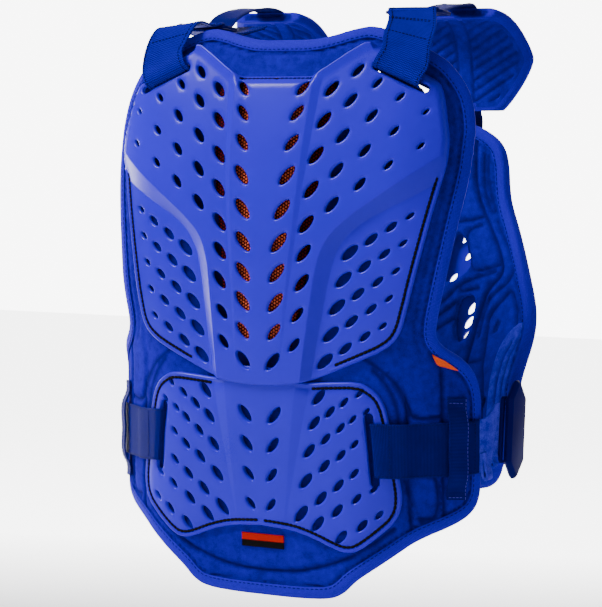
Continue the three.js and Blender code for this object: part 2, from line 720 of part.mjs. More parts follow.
function backWaistStrap(climb) {
  const rear = buckleFront + WAIST_BUCKLE_LENGTH - BUCKLE_BAR / 2;
  const bar = BUCKLE_THICK / 2 + barOver;
  const over = (share, h) => ({
    centre: onBack(share * BACK_HALF, waistHeight + climb, BACK_PAD_THICK + h), side: upright });
  return ribbon([
    ...[0.67, 0.76, 0.84, 0.92, 1].map((share) => over(share, onLiner + BACK_SEAT)),
    waistStation(-bar - 0.5, rear + BUCKLE_BAR / 2 + 4, climb),
    ...aroundBar.slice(2).map(([along, above]) => waistStation(-above, rear - along, climb))],
  WEBBING, WEBBING_THICK);
}

function keeper(climb) {
  const s = waistSlotMiddle.x + 0.75 * (PAD_HALF - waistSlotMiddle.x);
  const middle = waistHeight + 0.19 * climb;
  const top = onLiner + WEBBING_THICK + 2 * CLEAR + 0.4;
  return ribbon([
    [-0.5, onLiner], [-0.38, onLiner], [-0.29, top], [0, top], [0.29, top], [0.38, onLiner],
    [0.5, onLiner]].map(([share, h]) =>
    chestStation(s, middle + share * KEEPER_HEIGHT, h, 0)), KEEPER_WIDTH, WEBBING_THICK);
}

// Shoulder straps: out of the chest shell's slot, up and over to the back

const BUCKLE_X = 113; // shoulder buckle's middle
const BUCKLE_Y = -49;
const BACK_STRAP_X = 90; // where the strap meets the back liner
// The strap between the breast shell and the buckle: outboard of the buckle, then how
// far before and below it as shares of CHEST_DROP, and its slope in degrees
const STRAP_SLUMP = [[0.3, 0.3], [0.9, 0], [0, 0.75]]; // each point's share of the slump
const STRAP_RISE = [[6, 0.515, 0.47, -14], [3, 0.27, 0.2, -7], [0, 0.076, 0.045, -2]];

function shoulderStrap(crest) {
  const through = (forward, h) =>
    crossing(shoulderSlotMiddle, SHOULDER_SLOT_SLOPE, forward, h);
  const behind = -PAD_THICK - onLiner - 2.4;
  const plate = SHELL_SEAT + SHELL_RAISE + SHELL_THICK;
  const front = BUCKLE_Y - SHOULDER_BUCKLE_DEPTH / 2;
  const free = (x, y, z, slope) => ({
    centre: new THREE.Vector3(x, y, z),
    side: new THREE.Vector3(Math.cos(radians(slope)), 0, Math.sin(radians(slope))),
  });
  return ribbon([
    through(-22, behind), through(-8, behind), through(-1, behind + 1.5),
    through(0, -0.5 * PAD_THICK), through(0, plate), through(1.5, plate + 3),
    through(6, plate + 4.5), through(15, plate + 4), through(27, plate + 1.5),
    ...STRAP_RISE.map(([outboard, before, below, slope], i) => free(
      BUCKLE_X + outboard, front - before * CHEST_DROP + STRAP_SLUMP[i][0] * crest,
      STRAP_SLUMP[i][1] * crest - below * CHEST_DROP, slope)),
    ...aroundBar.slice(crest ? 1 : 0).map(([along, above]) =>
      free(BUCKLE_X, front + BUCKLE_BAR / 2 + along, crest + above, 0))],
  WEBBING - 4, WEBBING_THICK);
}

function shoulderBuckle(crest) {
  const frame = frameWithSlots(
    WEBBING + 8, SHOULDER_BUCKLE_DEPTH, BUCKLE_BAR, BUCKLE_THICK, 2);
  return frame.translate(BUCKLE_X, BUCKLE_Y, crest);
}

const CAP_TOP = 12;
const CAP_LENGTH = 87;
// The cap's inner face from its top end down: shares of SEAT_TO_BACK and of CAP_LENGTH
const CAP_PATH = [
  [0.5, 0], [0.646, 0.057], [0.762, 0.23], [0.838, 0.506], [0.885, 0.805], [0.908, 1]];
const CAP_WIDTHS = [0.56, 0.76, 0.92, 1, 0.74, 0.46];
const CAP_X = 107;

function capStations(offset) {
  const path = CAP_PATH.map(([depth, drop]) => new THREE.Vector3(
    CAP_X, depth * SEAT_TO_BACK, CAP_TOP - drop * CAP_LENGTH));
  const side = new THREE.Vector3(1, 0, 0);
  return path.map((p, i) => {
    const run = path[Math.min(i + 1, path.length - 1)].clone().sub(path[Math.max(i - 1, 0)]);
    const normal = run.cross(side).normalize();
    if (normal.y + normal.z < 0) normal.negate();
    return { centre: p.clone().addScaledVector(normal, offset), side, half: CAP_HALF * CAP_WIDTHS[i] };
  });
}

const shoulderCap = () => ribbon(capStations(CAP_THICK / 2), 0, CAP_THICK);

function backStrap(crest) {
  const rear = BUCKLE_Y + SHOULDER_BUCKLE_DEPTH / 2;
  const side = new THREE.Vector3(1, 0, 0);
  const free = (x, y, z) => ({ centre: new THREE.Vector3(x, y, z), side });
  const overCap = capStations(CAP_THICK + CLEAR + WEBBING_THICK / 2).map(({ centre }, i) => {
    const share = i / (CAP_PATH.length - 1);
    centre.x = THREE.MathUtils.lerp(CAP_X, BACK_STRAP_X + 2, share);
    return { centre, side };
  });
  const end = (z) => {
    const p = onBack(BACK_STRAP_X, z, BACK_PAD_THICK + onLiner + BACK_SEAT);
    return { centre: p, side };
  };
  return ribbon([
    ...aroundBar.slice(0, -2).map(([along, above]) =>
      free(BUCKLE_X, rear - BUCKLE_BAR / 2 + along, crest + above)),
    ...[[0.05, 0.15, 1], [0.25, 0.45, 0.4], [0.61, 0.9, 0]].map(([along, up, slump]) => free(
      BUCKLE_X, rear + along * (overCap[0].centre.y - rear),
      up * (CAP_TOP + CAP_THICK) + slump * crest)),
    ...overCap, ...[8, 20, 31].map((drop) => end(BACK_TOP - drop)),
  ], NARROW_WEBBING, WEBBING_THICK);
}

// Moulded buckles

function roundedRect(width, depth, radius, y = 0) {
  const [w, d] = [width / 2, depth / 2];
  const shape = new THREE.Shape();
  shape.moveTo(-w + radius, y - d).lineTo(w - radius, y - d);
  shape.lineTo(w, y - d + radius).lineTo(w, y + d - radius);
  shape.lineTo(w - radius, y + d).lineTo(-w + radius, y + d);
  shape.lineTo(-w, y + d - radius).lineTo(-w, y - d + radius);
  shape.closePath();
  return shape;
}

function box(width, depth, y) {
  const [w, d] = [width / 2, depth / 2];
  const path = new THREE.Path();
  path.moveTo(-w, y - d).lineTo(w, y - d).lineTo(w, y + d).lineTo(-w, y + d);
  path.closePath();
  return path;
}

function frameWithSlots(width, depth, bar, thickness, slots) {
  // A flat frame in XY, its slots side by side along Y
  const outline = roundedRect(width, depth, 0.6 * bar);
  const pitch = (depth - bar) / slots;
  for (let i = 0; i < slots; i++) {
    const middle = -depth / 2 + bar / 2 + (i + 0.5) * pitch;
    outline.holes.push(box(width - bar, pitch - bar, middle));
  }
  const solid = new THREE.ExtrudeGeometry(outline, { depth: thickness, bevelEnabled: false });
  return solid.translate(0, 0, -thickness / 2);
}

const upOnSide = (flat, climb) => flat.rotateY(Math.PI / 2).translate(
  buckleX, buckleY, waistHeight + climb);

const waistBuckle = (climb) => upOnSide(frameWithSlots(
  WEBBING + 12, WAIST_BUCKLE_LENGTH, BUCKLE_BAR, BUCKLE_THICK, 2), climb);

function buckleGuard(climb) {
  // An oval cover outboard of the buckle, its rim chamfered
  const leaf = roundedRect(GUARD_HEIGHT, GUARD_LENGTH, 0.42 * GUARD_LENGTH);
  const chamfer = 0.4 * GUARD_THICK;
  const solid = new THREE.ExtrudeGeometry(leaf, {
    depth: GUARD_THICK - 2 * chamfer, bevelThickness: chamfer, bevelSize: chamfer,
    bevelOffset: -chamfer, bevelSegments: 1 });
  const gap = BUCKLE_THICK / 2 + 2 * CLEAR;
  return upOnSide(solid.translate(0, 0, chamfer), climb).translate(gap, 0, 0);
}

// Small sewn pieces

function sewnOn(rows, thickness) {
  // Stations across the liner, each from a low to a high point
  return strip(rows.map(([s, low, high]) => ({
    from: onChest(s, low, CLEAR + thickness / 2),
    to: onChest(s, high, CLEAR + thickness / 2),
    normal: normalOf(chestSurface, s, high),
  })), thickness);
}

const sideTab = () => sewnOn(
  [[0.766, 0.551, 0.553], [0.785, 0.568, 0.555], [0.822, 0.573, 0.562], [0.85, 0.576, 0.569],
    [0.88, 0.578, 0.577]].map(([s, low, high]) =>
    [s * PAD_HALF, PAD_TOP - Math.max(low, high) * PAD_HEIGHT,
      PAD_TOP - Math.min(low, high) * PAD_HEIGHT]), TAB_THICK);

function hemLabel() {
  const middle = bellyOutline.bottom[0].y - LABEL_DROP;
  return sewnOn([-0.5, 0, 0.5].map((share) => [share * LABEL_WIDTH,
    middle - LABEL_HEIGHT / 2, middle + LABEL_HEIGHT / 2]), TAB_THICK);
}

// Fittings and everything in place

const COLORS = {
  shell: 0x2a35d8, liner: 0x1a22b8, binding: 0x141ca0, webbing: 0x10148c,
  fitting: 0x0c1070, mesh: 0xd8401c, tab: 0xff5a1e, label: 0x141414,
};

const deflector = new THREE.Group();

function add(name, shape, kind, roughness = 0.8) {
  const material = new THREE.MeshStandardMaterial(
    { color: COLORS[kind], roughness, metalness: 0 });
  const mesh = new THREE.Mesh(shape, material);
  mesh.name = name;
  deflector.add(mesh);
}

add("chest_shell", chestShell(), "shell", 0.25);
add("belly_shell", bellyShell(), "shell", 0.25);
add("chest_mesh", chestMesh(), "mesh");
add("front_pad", frontPad(), "liner");
add("front_binding", binding(padOutline, onChest, -PAD_THICK, 0), "binding");
add("back_pad", backPad(), "liner");
add("back_shell", backShell(), "shell", 0.25);
add("back_binding", binding(backOutline, onBack, 0, BACK_PAD_THICK), "binding");
add("side_tab", sideTab(), "tab");
add("hem_label", hemLabel(), "label");

const sides = [
  ["left", SHOULDER_CREST, WAIST_RISE],
  ["right", -CREST_SLUMP, WAIST_RISE - WAIST_SLUMP]];
for (const [side, crest, climb] of sides) {
  const placed = (shape) => (side === "left" ? shape : mirrored(shape));
  add(`shoulder_strap_${side}`, placed(shoulderStrap(crest)), "webbing");
  add(`shoulder_buckle_${side}`, placed(indexed(shoulderBuckle(crest))), "fitting", 0.4);
  add(`shoulder_cap_${side}`, placed(shoulderCap()), "liner");
  add(`back_strap_${side}`, placed(backStrap(crest)), "webbing");
  add(`waist_strap_${side}`, placed(waistStrap(climb)), "webbing");
  add(`back_waist_strap_${side}`, placed(backWaistStrap(climb)), "webbing");
  add(`strap_keeper_${side}`, placed(keeper(climb)), "webbing");
  add(`waist_buckle_${side}`, placed(indexed(waistBuckle(climb))), "fitting", 0.4);
  add(`buckle_guard_${side}`, placed(indexed(buckleGuard(climb))), "fitting", 0.4);
}

export default deflector;
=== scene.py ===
"""Looks of the roost deflector: moulded shells, quilted liners, webbing and fittings.

Lengths are millimetres until a mesh is made. On the torso s runs round the body from
the middle, z is the height and h the height over the surface.
"""

import math

import bpy
import numpy as np
from mathutils import Matrix, Vector, geometry, kdtree


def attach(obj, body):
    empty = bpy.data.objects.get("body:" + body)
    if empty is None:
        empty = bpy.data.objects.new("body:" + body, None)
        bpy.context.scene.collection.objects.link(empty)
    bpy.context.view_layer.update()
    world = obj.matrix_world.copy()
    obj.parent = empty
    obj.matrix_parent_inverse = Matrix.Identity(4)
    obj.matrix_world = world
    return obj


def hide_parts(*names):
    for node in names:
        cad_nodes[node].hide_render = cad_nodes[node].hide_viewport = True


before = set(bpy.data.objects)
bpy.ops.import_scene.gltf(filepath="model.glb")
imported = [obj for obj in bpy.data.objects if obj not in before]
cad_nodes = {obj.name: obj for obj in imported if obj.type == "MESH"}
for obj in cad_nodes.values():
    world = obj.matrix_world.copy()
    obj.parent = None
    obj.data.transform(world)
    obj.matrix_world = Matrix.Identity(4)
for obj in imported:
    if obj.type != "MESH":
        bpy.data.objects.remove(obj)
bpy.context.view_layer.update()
MM = 0.001

# Torso surfaces, as the part's source has them
BACK_PROFILE = [(0, 0.88), (0.11, 0.97), (0.27, 1), (0.46, 0.91), (0.69, 0.785), (0.9, 0.82)]
FLAT_RADIUS, SIDE_RADIUS = 1000, 130
BOW_Z, BOW_ABOVE, BOW_BELOW = -200, 612, 2045
CHEST_FRONT, BACK_DEPTH = -118, 130
BACK_TOP, BACK_LENGTH = -32, 515
PAD_THICK = 9
BACK_THICK = 10
SHELL_SEAT = 1.2
BACK_SEAT = 2.1
SHELL_THICK = 3


def ease(a, b, x):
    t = np.clip((x - a) / (b - a), 0, 1)
    return t * t * (3 - 2 * t)


def hump(x, middle, width):
    """A smooth hump, 1 tall."""
    return np.exp(-((x - middle) / width) ** 2)


def section(s, flat_half):
    size = np.abs(s)
    flat = np.minimum(size, flat_half) / FLAT_RADIUS
    turned = flat + np.maximum(size - flat_half, 0) / SIDE_RADIUS
    across = FLAT_RADIUS * np.sin(flat) + SIDE_RADIUS * (np.sin(turned) - np.sin(flat))
    inward = FLAT_RADIUS * (1 - np.cos(flat)) + SIDE_RADIUS * (np.cos(flat) - np.cos(turned))
    return np.sign(s) * across, inward


def flat_half_at(z):
    return 85 + 33 * ease(-350, -250, z)


def chest_surface(s, z):
    x, inward = section(s, flat_half_at(z))
    above = z - BOW_Z
    bow = above**2 / (2 * np.where(above > 0, BOW_ABOVE, BOW_BELOW))
    return np.stack([x, bow + inward + CHEST_FRONT, z], -1)


def back_surface(s, z):
    x, inward = section(s, flat_half_at(z))
    share = (BACK_TOP - z) / BACK_LENGTH
    depth = np.full(share.shape, BACK_PROFILE[0][1])
    for (a, start), (b, end) in zip(BACK_PROFILE, BACK_PROFILE[1:]):
        depth = np.where(share > a, start + (end - start) * ease(a, b, share), depth)
    return np.stack([x, BACK_DEPTH * depth - inward, z], -1)


def onto(surface, outward):
    def put(s, z, h):
        s, z, h = (np.array(v) for v in np.broadcast_arrays(
            *(np.asarray(v, float) for v in (s, z, h))))
        along = surface(s + 0.5, z) - surface(s - 0.5, z)
        up = surface(s, z + 0.5) - surface(s, z - 0.5)
        normal = np.cross(along, up)
        normal *= outward / np.linalg.norm(normal, axis=-1, keepdims=True)
        return surface(s, z) + normal * h[..., None]
    return put


on_chest = onto(chest_surface, 1)
on_back = onto(back_surface, -1)


# Lines on a surface: arrays of (s, z)

def way_along(points):
    """How far along a line each of its points lies."""
    return np.concatenate([[0], np.cumsum(np.linalg.norm(np.diff(points, axis=0), axis=1))])


def softened(points, rounds):
    """Cuts the corners of an open line, its ends kept."""
    points = np.asarray(points, float)
    for _ in range(rounds):
        a, b = points[:-1], points[1:]
        cut = np.stack([0.75 * a + 0.25 * b, 0.25 * a + 0.75 * b], 1)
        points = np.vstack([points[:1], cut.reshape(-1, points.shape[1]), points[-1:]])
    return points


def spaced(points, step, closed=False):
    """Points about every step along a line."""
    points = np.asarray(points, float)
    if closed:
        points = np.vstack([points, points[:1]])
    way = way_along(points)
    count = max(int(round(way[-1] / step)), 2)
    at = np.linspace(0, way[-1], count + 1)
    made = np.stack([np.interp(at, way, points[:, k]) for k in range(points.shape[1])], 1)
    return made[:-1] if closed else made


def sideways(points, closed):
    """Unit vectors to the right of a line's run."""
    if closed:
        run = np.roll(points, -1, 0) - np.roll(points, 1, 0)
    else:
        run = np.gradient(points, axis=0)
    run /= np.linalg.norm(run, axis=1, keepdims=True)
    return np.stack([run[:, 1], -run[:, 0]], 1)


def offset(points, by, closed=False):
    return points + by * sideways(points, closed)


def distance(line, s, z):
    """Shortest distance from points to an open line."""
    best = np.full(np.shape(s), 1e9)
    for a, b in zip(line[:-1], line[1:]):
        run = b - a
        t = np.clip(((s - a[0]) * run[0] + (z - a[1]) * run[1]) / (run @ run), 0, 1)
        best = np.minimum(best, np.hypot(s - a[0] - t * run[0], z - a[1] - t * run[1]))
    return best


def inside(polygon, points):
    hit = np.zeros(len(points), bool)
    for a, b in zip(polygon, np.roll(polygon, -1, 0)):
        crosses = (a[1] > points[:, 1]) != (b[1] > points[:, 1])
        with np.errstate(divide="ignore", invalid="ignore"):
            at = a[0] + (points[:, 1] - a[1]) * (b[0] - a[0]) / (b[1] - a[1])
        hit ^= crosses & (points[:, 0] < at)
    return hit


def whole(half):
    """A closed outline from its right half."""
    mirror = half[::-1] * [-1, 1]
    return np.vstack([half, mirror[1:-1]])


def across_at(line, z):
    """How far out a line is at a height, for a line that runs down."""
    return np.interp(z, line[::-1, 1], line[::-1, 0])


def leaf(s, z, length, width, tilt, grow=0.0, count=22):
    """The outline of a vent, a little pointed at its ends."""
    turn = np.linspace(0, 2 * math.pi, count, endpoint=False)
    u = (length / 2 + grow) * np.cos(turn)
    v = (width / 2 + grow) * np.sin(turn) * np.abs(np.sin(turn)) ** 0.12
    lean = math.radians(tilt)
    return np.stack([s + u * math.cos(lean) - v * math.sin(lean),
                     z + u * math.sin(lean) + v * math.cos(lean)], 1)


def stadium(start, end, width, grow=0.0):
    """The outline of a slot with round ends."""
    start, end = np.array(start, float), np.array(end, float)
    run = (end - start) / np.linalg.norm(end - start)
    side = np.array([-run[1], run[0]])
    r = width / 2 + grow
    loop = []
    for centre, first in ((end, -90), (start, 90)):
        for turn in np.radians(np.linspace(first, first + 180, 9)):
            loop.append(centre + r * (math.cos(turn) * run + math.sin(turn) * side))
    return np.array(loop)


def blob(points, grow):
    """A closed outline with its corners rounded."""
    points = np.asarray(points, float)
    for _ in range(3):
        after = np.roll(points, -1, 0)
        points = np.stack([0.75 * points + 0.25 * after, 0.25 * points + 0.75 * after], 1)
        points = points.reshape(-1, 2)
    points = spaced(points, 2.5, True)
    after = np.roll(points, -1, 0)
    area = np.sum(points[:, 0] * after[:, 1] - after[:, 0] * points[:, 1])
    return offset(points, grow if area > 0 else -grow, True)


# Meshes

def solid(name, points, faces, uv=None, tone=None):
    """An object from points in millimetres, with a UV map in millimetres and a point attribute of
    painted shade.
    """
    mesh = bpy.data.meshes.new(name)
    mesh.from_pydata((np.asarray(points, float) * MM).tolist(), [], faces)
    if uv is not None:
        corner = np.empty(len(mesh.loops), np.int32)
        mesh.loops.foreach_get("vertex_index", corner)
        layer = mesh.uv_layers.new(name="weave")
        layer.data.foreach_set("uv", np.asarray(uv, np.float32)[corner].ravel())
    if tone is not None:
        kept = mesh.attributes.new("tone", "FLOAT", "POINT")
        kept.data.foreach_set("value", np.asarray(tone, np.float32))
    mesh.validate()
    made = bpy.data.objects.new(name, mesh)
    bpy.context.collection.objects.link(made)
    return made


def only(made):
    bpy.ops.object.select_all(action="DESELECT")
    made.select_set(True)
    bpy.context.view_layer.objects.active = made


def dress(made, finish, slot, nodes=(), angle=40.0):
    only(made)
    bpy.ops.object.shade_smooth_by_angle(angle=math.radians(angle))
    made.data.materials.clear()
    made.data.materials.append(finish)
    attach(made, "root")
    if nodes:
        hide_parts(*nodes)
    return made


CREASE = 0.9
RIM = ((0, 1.1), (0.35, 0.5), (0.9, 0.15), (1.9, 0))
SOFT_RIM = ((0, 2.6), (0.9, 1.2), (2.2, 0.4), (4.2, 0))


def panel(name, half, put, outer, inner, pitch=3.2, holes=(), lines=(), rim=RIM, hole_rim=RIM,
          tone=None, under_rim=0.0, closed=False):
    """A sheet between two heights over a surface, meshed round its holes and creases.

    Its outline is the right half of a symmetric one, or closed and made on both sides.
    """
    points, drops, edges = [], [], []

    def chain(line, closed=False, drop=0.0):
        first, count = len(points), len(line)
        points.extend(line)
        drops.extend([drop] * count)
        last = count if closed else count - 1
        edges.extend((first + i, first + (i + 1) % count) for i in range(last))

    half = spaced(half, pitch, closed)
    if not closed:
        half[0, 0] = half[-1, 0] = 0
        levels = np.linspace(half[0, 1], half[-1, 1], int(abs(half[-1, 1] - half[0, 1]) / pitch))
        chain(np.stack([0 * levels, levels], 1))
    chain(half, closed)
    for inset, _ in rim[1:]:
        ring = offset(half, -inset, closed)
        if not closed:
            ring[0, 0] = ring[-1, 0] = 0
        chain(ring, closed)
    for line in lines:
        for shift in (-CREASE, 0, CREASE):
            chain(spaced(offset(spaced(line, pitch), shift), pitch))
    for loop in holes:
        for grow, drop in hole_rim:
            chain(loop(grow), True, drop)
    tree = kdtree.KDTree(len(points))
    for i, p in enumerate(points):
        tree.insert((p[0], p[1], 0), i)
    tree.balance()
    low, high = half.min(0), half.max(0)
    rows = np.arange(low[1], high[1], pitch * 0.866)
    grid = np.array([(s, z) for i, z in enumerate(rows)
                     for s in np.arange(low[0] + (i % 2) * pitch / 2, high[0], pitch)])
    grid = grid[inside(half, grid)]
    points.extend(p for p in grid if tree.find((p[0], p[1], 0))[2] > 0.5 * pitch)
    drops.extend([0.0] * (len(points) - len(drops)))

    found = geometry.delaunay_2d_cdt([Vector(p) for p in points], edges, [], 0, 1e-4)
    flat = np.array([v[:] for v in found[0]])
    drop = np.array([max((drops[i] for i in ids), default=0.0) for ids in found[3]])
    faces = np.array(found[2])
    middle = flat[faces].mean(1)
    keep = inside(half, middle)
    for loop in holes:
        keep &= ~inside(loop(0), middle)
    faces = faces[keep]
    used = np.unique(faces)
    number = np.full(len(flat), -1)
    number[used] = np.arange(len(used))
    flat, drop, faces = flat[used], drop[used], number[faces]

    border = np.vstack([half, half[:1]]) if closed else half
    reach = distance(border, flat[:, 0], flat[:, 1])
    drop = np.maximum(drop, np.interp(reach, [r[0] for r in rim], [r[1] for r in rim]))
    off = np.abs(flat[:, 0]) >= 1e-3
    twin = np.arange(len(flat))
    flat[~off, 0] = 0
    twin[off] = len(flat) + np.arange(off.sum())
    faces = np.vstack([faces, twin[faces][:, ::-1]])
    flat = np.vstack([flat, flat[off] * [-1, 1]])
    drop = np.concatenate([drop, drop[off]])
    s, z = flat.T
    top = put(s, z, outer(s, z) - drop)
    bottom = put(s, z, inner(s, z) + under_rim * drop)
    count = len(flat)
    pairs = np.concatenate([faces[:, [0, 1]], faces[:, [1, 2]], faces[:, [2, 0]]])
    seen = set(map(tuple, pairs.tolist()))
    edge = [(a, b) for a, b in seen if (b, a) not in seen]
    made = faces.tolist() + (faces[:, ::-1] + count).tolist()
    made += [(b, a, a + count, b + count) for a, b in edge]
    painted_shades = np.concatenate([tone(s, z)] * 2) if tone else None
    return outward(solid(name, np.vstack([top, bottom]), made, np.vstack([flat, flat]), painted_shades))


def swept(name, rings, closed, uv):
    """A skin over rings of points; each ring is a closed section."""
    rings = np.asarray(rings, float)
    count, size = rings.shape[:2]
    faces = []
    for i in range(count if closed else count - 1):
        a, b = i * size, ((i + 1) % count) * size
        faces += [(a + k, b + k, b + (k + 1) % size, a + (k + 1) % size) for k in range(size)]
    if not closed:
        faces += [tuple(range(size)), tuple(reversed(range((count - 1) * size, count * size)))]
    return outward(solid(name, rings.reshape(-1, 3), faces, uv))


def outward(made):
    """Turns a closed mesh's faces outwards."""
    mesh = made.data
    mesh.calc_loop_triangles()
    co = np.empty(len(mesh.vertices) * 3, np.float32)
    mesh.vertices.foreach_get("co", co)
    tri = np.empty(len(mesh.loop_triangles) * 3, np.int32)
    mesh.loop_triangles.foreach_get("vertices", tri)
    a, b, c = co.reshape(-1, 3)[tri.reshape(-1, 3)].transpose(1, 0, 2)
    if np.sum(a * np.cross(b, c)) < 0:
        mesh.flip_normals()
    return made


def tape(name, half, put, section_points, pitch=3.5):
    """Edge binding round a liner: a section of (distance out, height) round its outline."""
    loop = spaced(whole(softened(half, 2)), pitch, True)
    side = sideways(loop, True)
    rings = np.stack([put(*(loop + d * side).T, h) for d, h in section_points], 1)
    uv = np.stack(np.broadcast_arrays(way_along(section_points)[None, :],
                                      way_along(loop)[:, None]), -1).reshape(-1, 2)
    return swept(name, rings, True, uv)


# Size and sink of a stitch's rings, along it
STITCH_ENDS = ((0.4, 0.5), (0.9, 0.1), (1, 0), (0.9, 0.1), (0.4, 0.5))


def stitches(name, runs, finish, slot="binding", length=3.3, gap=1.4, radius=0.45):
    """Threads laid end to end along runs of points, each run with its outward normals."""
    ring = [(math.cos(a), math.sin(a)) for a in np.arange(6) * math.pi / 3]
    points, faces = [], []
    for path, normals in runs:
        path, normals = np.asarray(path, float), np.asarray(normals, float)
        way = way_along(path)
        for start in np.arange(gap / 2, way[-1] - length, length + gap):
            at = start + length * np.array([0, 0.16, 0.5, 0.84, 1])
            centre, up = (np.stack([np.interp(at, way, line[:, k]) for k in range(3)], 1)
                          for line in (path, normals))
            run = centre[-1] - centre[0]
            run /= np.linalg.norm(run)
            side = np.cross(run, up[2])
            side /= np.linalg.norm(side)
            base = len(points)
            for c, n, (size, sink) in zip(centre, up, STITCH_ENDS):
                points += [c + n * radius * (0.75 * y * size - sink) + side * radius * x * size
                           for x, y in ring]
            for i in range(4):
                a, b = base + 6 * i, base + 6 * i + 6
                faces += [(a + k, a + (k + 1) % 6, b + (k + 1) % 6, b + k) for k in range(6)]
            faces += [tuple(range(base + 5, base - 1, -1)), tuple(range(base + 24, base + 30))]
    made = outward(solid(name, points, faces))
    return dress(made, finish, slot, angle=60)


def laid(line, put, h):
    """A line on a surface as a run of points with normals."""
    s, z = np.asarray(line, float).T
    low, high = put(s, z, h), put(s, z, h + 1)
    return low, high - low


# Materials

def operator(operation, turned=False):
    """One of Python's operators as a Math node."""
    def apply(wire, other):
        return wire.finish.sum(operation, *((other, wire) if turned else (wire, other)))
    return apply


class Wire:
    """A node's output; numbers take Python's operators."""

    def __init__(self, finish, node, output=0):
        self.finish, self.owner = finish, node
        self.socket = node.outputs[output]

    def out(self, output):
        return Wire(self.finish, self.owner, output)

    __add__, __radd__ = operator("ADD"), operator("ADD", True)
    __sub__, __rsub__ = operator("SUBTRACT"), operator("SUBTRACT", True)
    __mul__, __rmul__ = operator("MULTIPLY"), operator("MULTIPLY", True)


class Finish:
    """A material made node by node on its Principled shader."""

    def __init__(self, name, **constants):
        self.material = bpy.data.materials.new(name)
        self.material.use_nodes = True
        self.tree = self.material.node_tree
        self.shader = self.tree.nodes["Principled BSDF"]
        for key, value in constants.items():
            self.shader.inputs[key.replace("_", " ")].default_value = value

    def node(self, kind, settings=None, inputs=None, output=0):
        made = self.tree.nodes.new(kind)
        for key, value in (settings or {}).items():
            setattr(made, key, value)
        for key, value in (inputs or {}).items():
            if isinstance(value, Wire):
                self.tree.links.new(value.socket, made.inputs[key])
            else:
                made.inputs[key].default_value = value
        return Wire(self, made, output)

    def sum(self, operation, a, b=0.0):
        return self.node("ShaderNodeMath", {"operation": operation}, {0: a, 1: b})

    def blend(self, factor, a, b):
        a, b = (c if isinstance(c, Wire) else (*c, 1) for c in (a, b))
        return self.node("ShaderNodeMix", {"data_type": "RGBA"}, {0: factor, 6: a, 7: b}, 2)

    def sine(self, value):
        return self.sum("SINE", value)

    def clamp(self, value, low, high):
        return self.node("ShaderNodeMapRange", {"clamp": True},
                         {"Value": value, "From Min": low, "From Max": high})

    def place(self):
        return self.node("ShaderNodeTexCoord", output="Object")

    def noise(self, scale, detail, roughness=0.5):
        return self.node("ShaderNodeTexNoise", None, {
            "Vector": self.place(), "Scale": scale, "Detail": detail, "Roughness": roughness})

    def weave(self):
        """The weave map's two directions, in millimetres."""
        parts = self.node("ShaderNodeSeparateXYZ", None,
                          {0: self.node("ShaderNodeUVMap", {"uv_map": "weave"})})
        return parts, parts.out(1)

    def tone(self):
        return self.node("ShaderNodeAttribute", {"attribute_name": "tone"}, output=2)

    def bump(self, height, strength, depth):
        return self.node("ShaderNodeBump", None,
                         {"Strength": strength, "Distance": depth, "Height": height})

    def waves(self, along):
        return 0.5 + 0.5 * self.sine(along)

    def feed(self, **wires):
        for key, value in wires.items():
            self.tree.links.new(value.socket, self.shader.inputs[key.replace("_", " ")])
        return self.material


NAP_BLUE = (0.16, 0.08, 1.0, 1.0)


def shell_plastic():
    """Glossy moulded plastic, royal blue, a little scuffed."""
    f = Finish("shell_plastic", Roughness=0.27, Specular_IOR_Level=0.2)
    cloud = f.noise(9, 2)
    tint = f.blend(cloud, (0.016, 0.0, 0.52), (0.026, 0.0, 0.70))
    scuff = f.noise(900, 4, 0.7)
    rough = 0.22 + 0.10 * cloud + 0.05 * scuff
    ripple = f.noise(26, 2) + 0.02 * scuff
    return f.feed(Base_Color=tint, Roughness=rough, Normal=f.bump(ripple, 0.10, 0.0012))


def knit(name, dark, light, fuzz=1.0, roughness=0.85, sheen=0.12):
    """Brushed knit over foam: mottled nap with a soft sheen."""
    f = Finish(name, Roughness=roughness, Sheen_Weight=sheen, Sheen_Roughness=0.45,
               Sheen_Tint=NAP_BLUE, Specular_IOR_Level=0.04)
    mottle = f.noise(120, 5, 0.65)
    nap = f.noise(1400, 3, 0.7)
    soft = f.noise(28, 2)
    mix = f.clamp(0.5 * mottle + 0.42 * nap + 0.2 * soft, 0.44, 0.70)
    tint = f.blend(mix, dark, light)
    # Painted shade: the nap is darkened by the mesh's shade attribute in channels, seams and below
    # the shells
    tint = f.blend(f.tone() * 0.75, tint, tuple(0.3 * c for c in dark))
    height = 0.5 * mottle + 0.5 * nap
    return f.feed(Base_Color=tint, Normal=f.bump(height, 0.55 * fuzz, 0.0012))


def tape_cloth(name, dark, light):
    """Folded edge tape with a fine rib across it."""
    f = Finish(name, Roughness=0.62, Sheen_Weight=0.2, Sheen_Roughness=0.4,
               Sheen_Tint=NAP_BLUE, Specular_IOR_Level=0.06)
    u, v = f.weave()
    rib = f.waves(v * 5.2)
    grain = f.noise(900, 3, 0.6)
    tint = f.blend(f.clamp(0.6 * grain + 0.3 * rib, 0.25, 0.75), dark, light)
    return f.feed(Base_Color=tint, Normal=f.bump(0.5 * rib + 0.5 * grain, 0.4, 0.0006))


def belt_weave(name, dark, light, pitch):
    """Woven webbing: ribs across it with a slanting thread."""
    f = Finish(name, Roughness=0.6, Specular_IOR_Level=0.06)
    u, v = f.weave()
    turn = 2 * math.pi / pitch
    rib = f.waves(v * turn + 0.9 * f.sine(u * (0.55 * turn)))
    thread = f.waves(u * (1.4 * turn) + v * (0.5 * turn))
    cloth = f.noise(70, 3)
    mix = f.clamp(0.6 * rib + 0.3 * thread + 0.25 * cloth, 0.25, 0.95)
    tint = f.blend(mix, dark, light)
    return f.feed(Base_Color=tint, Normal=f.bump(0.7 * rib + 0.3 * thread, 0.9, 0.0007))


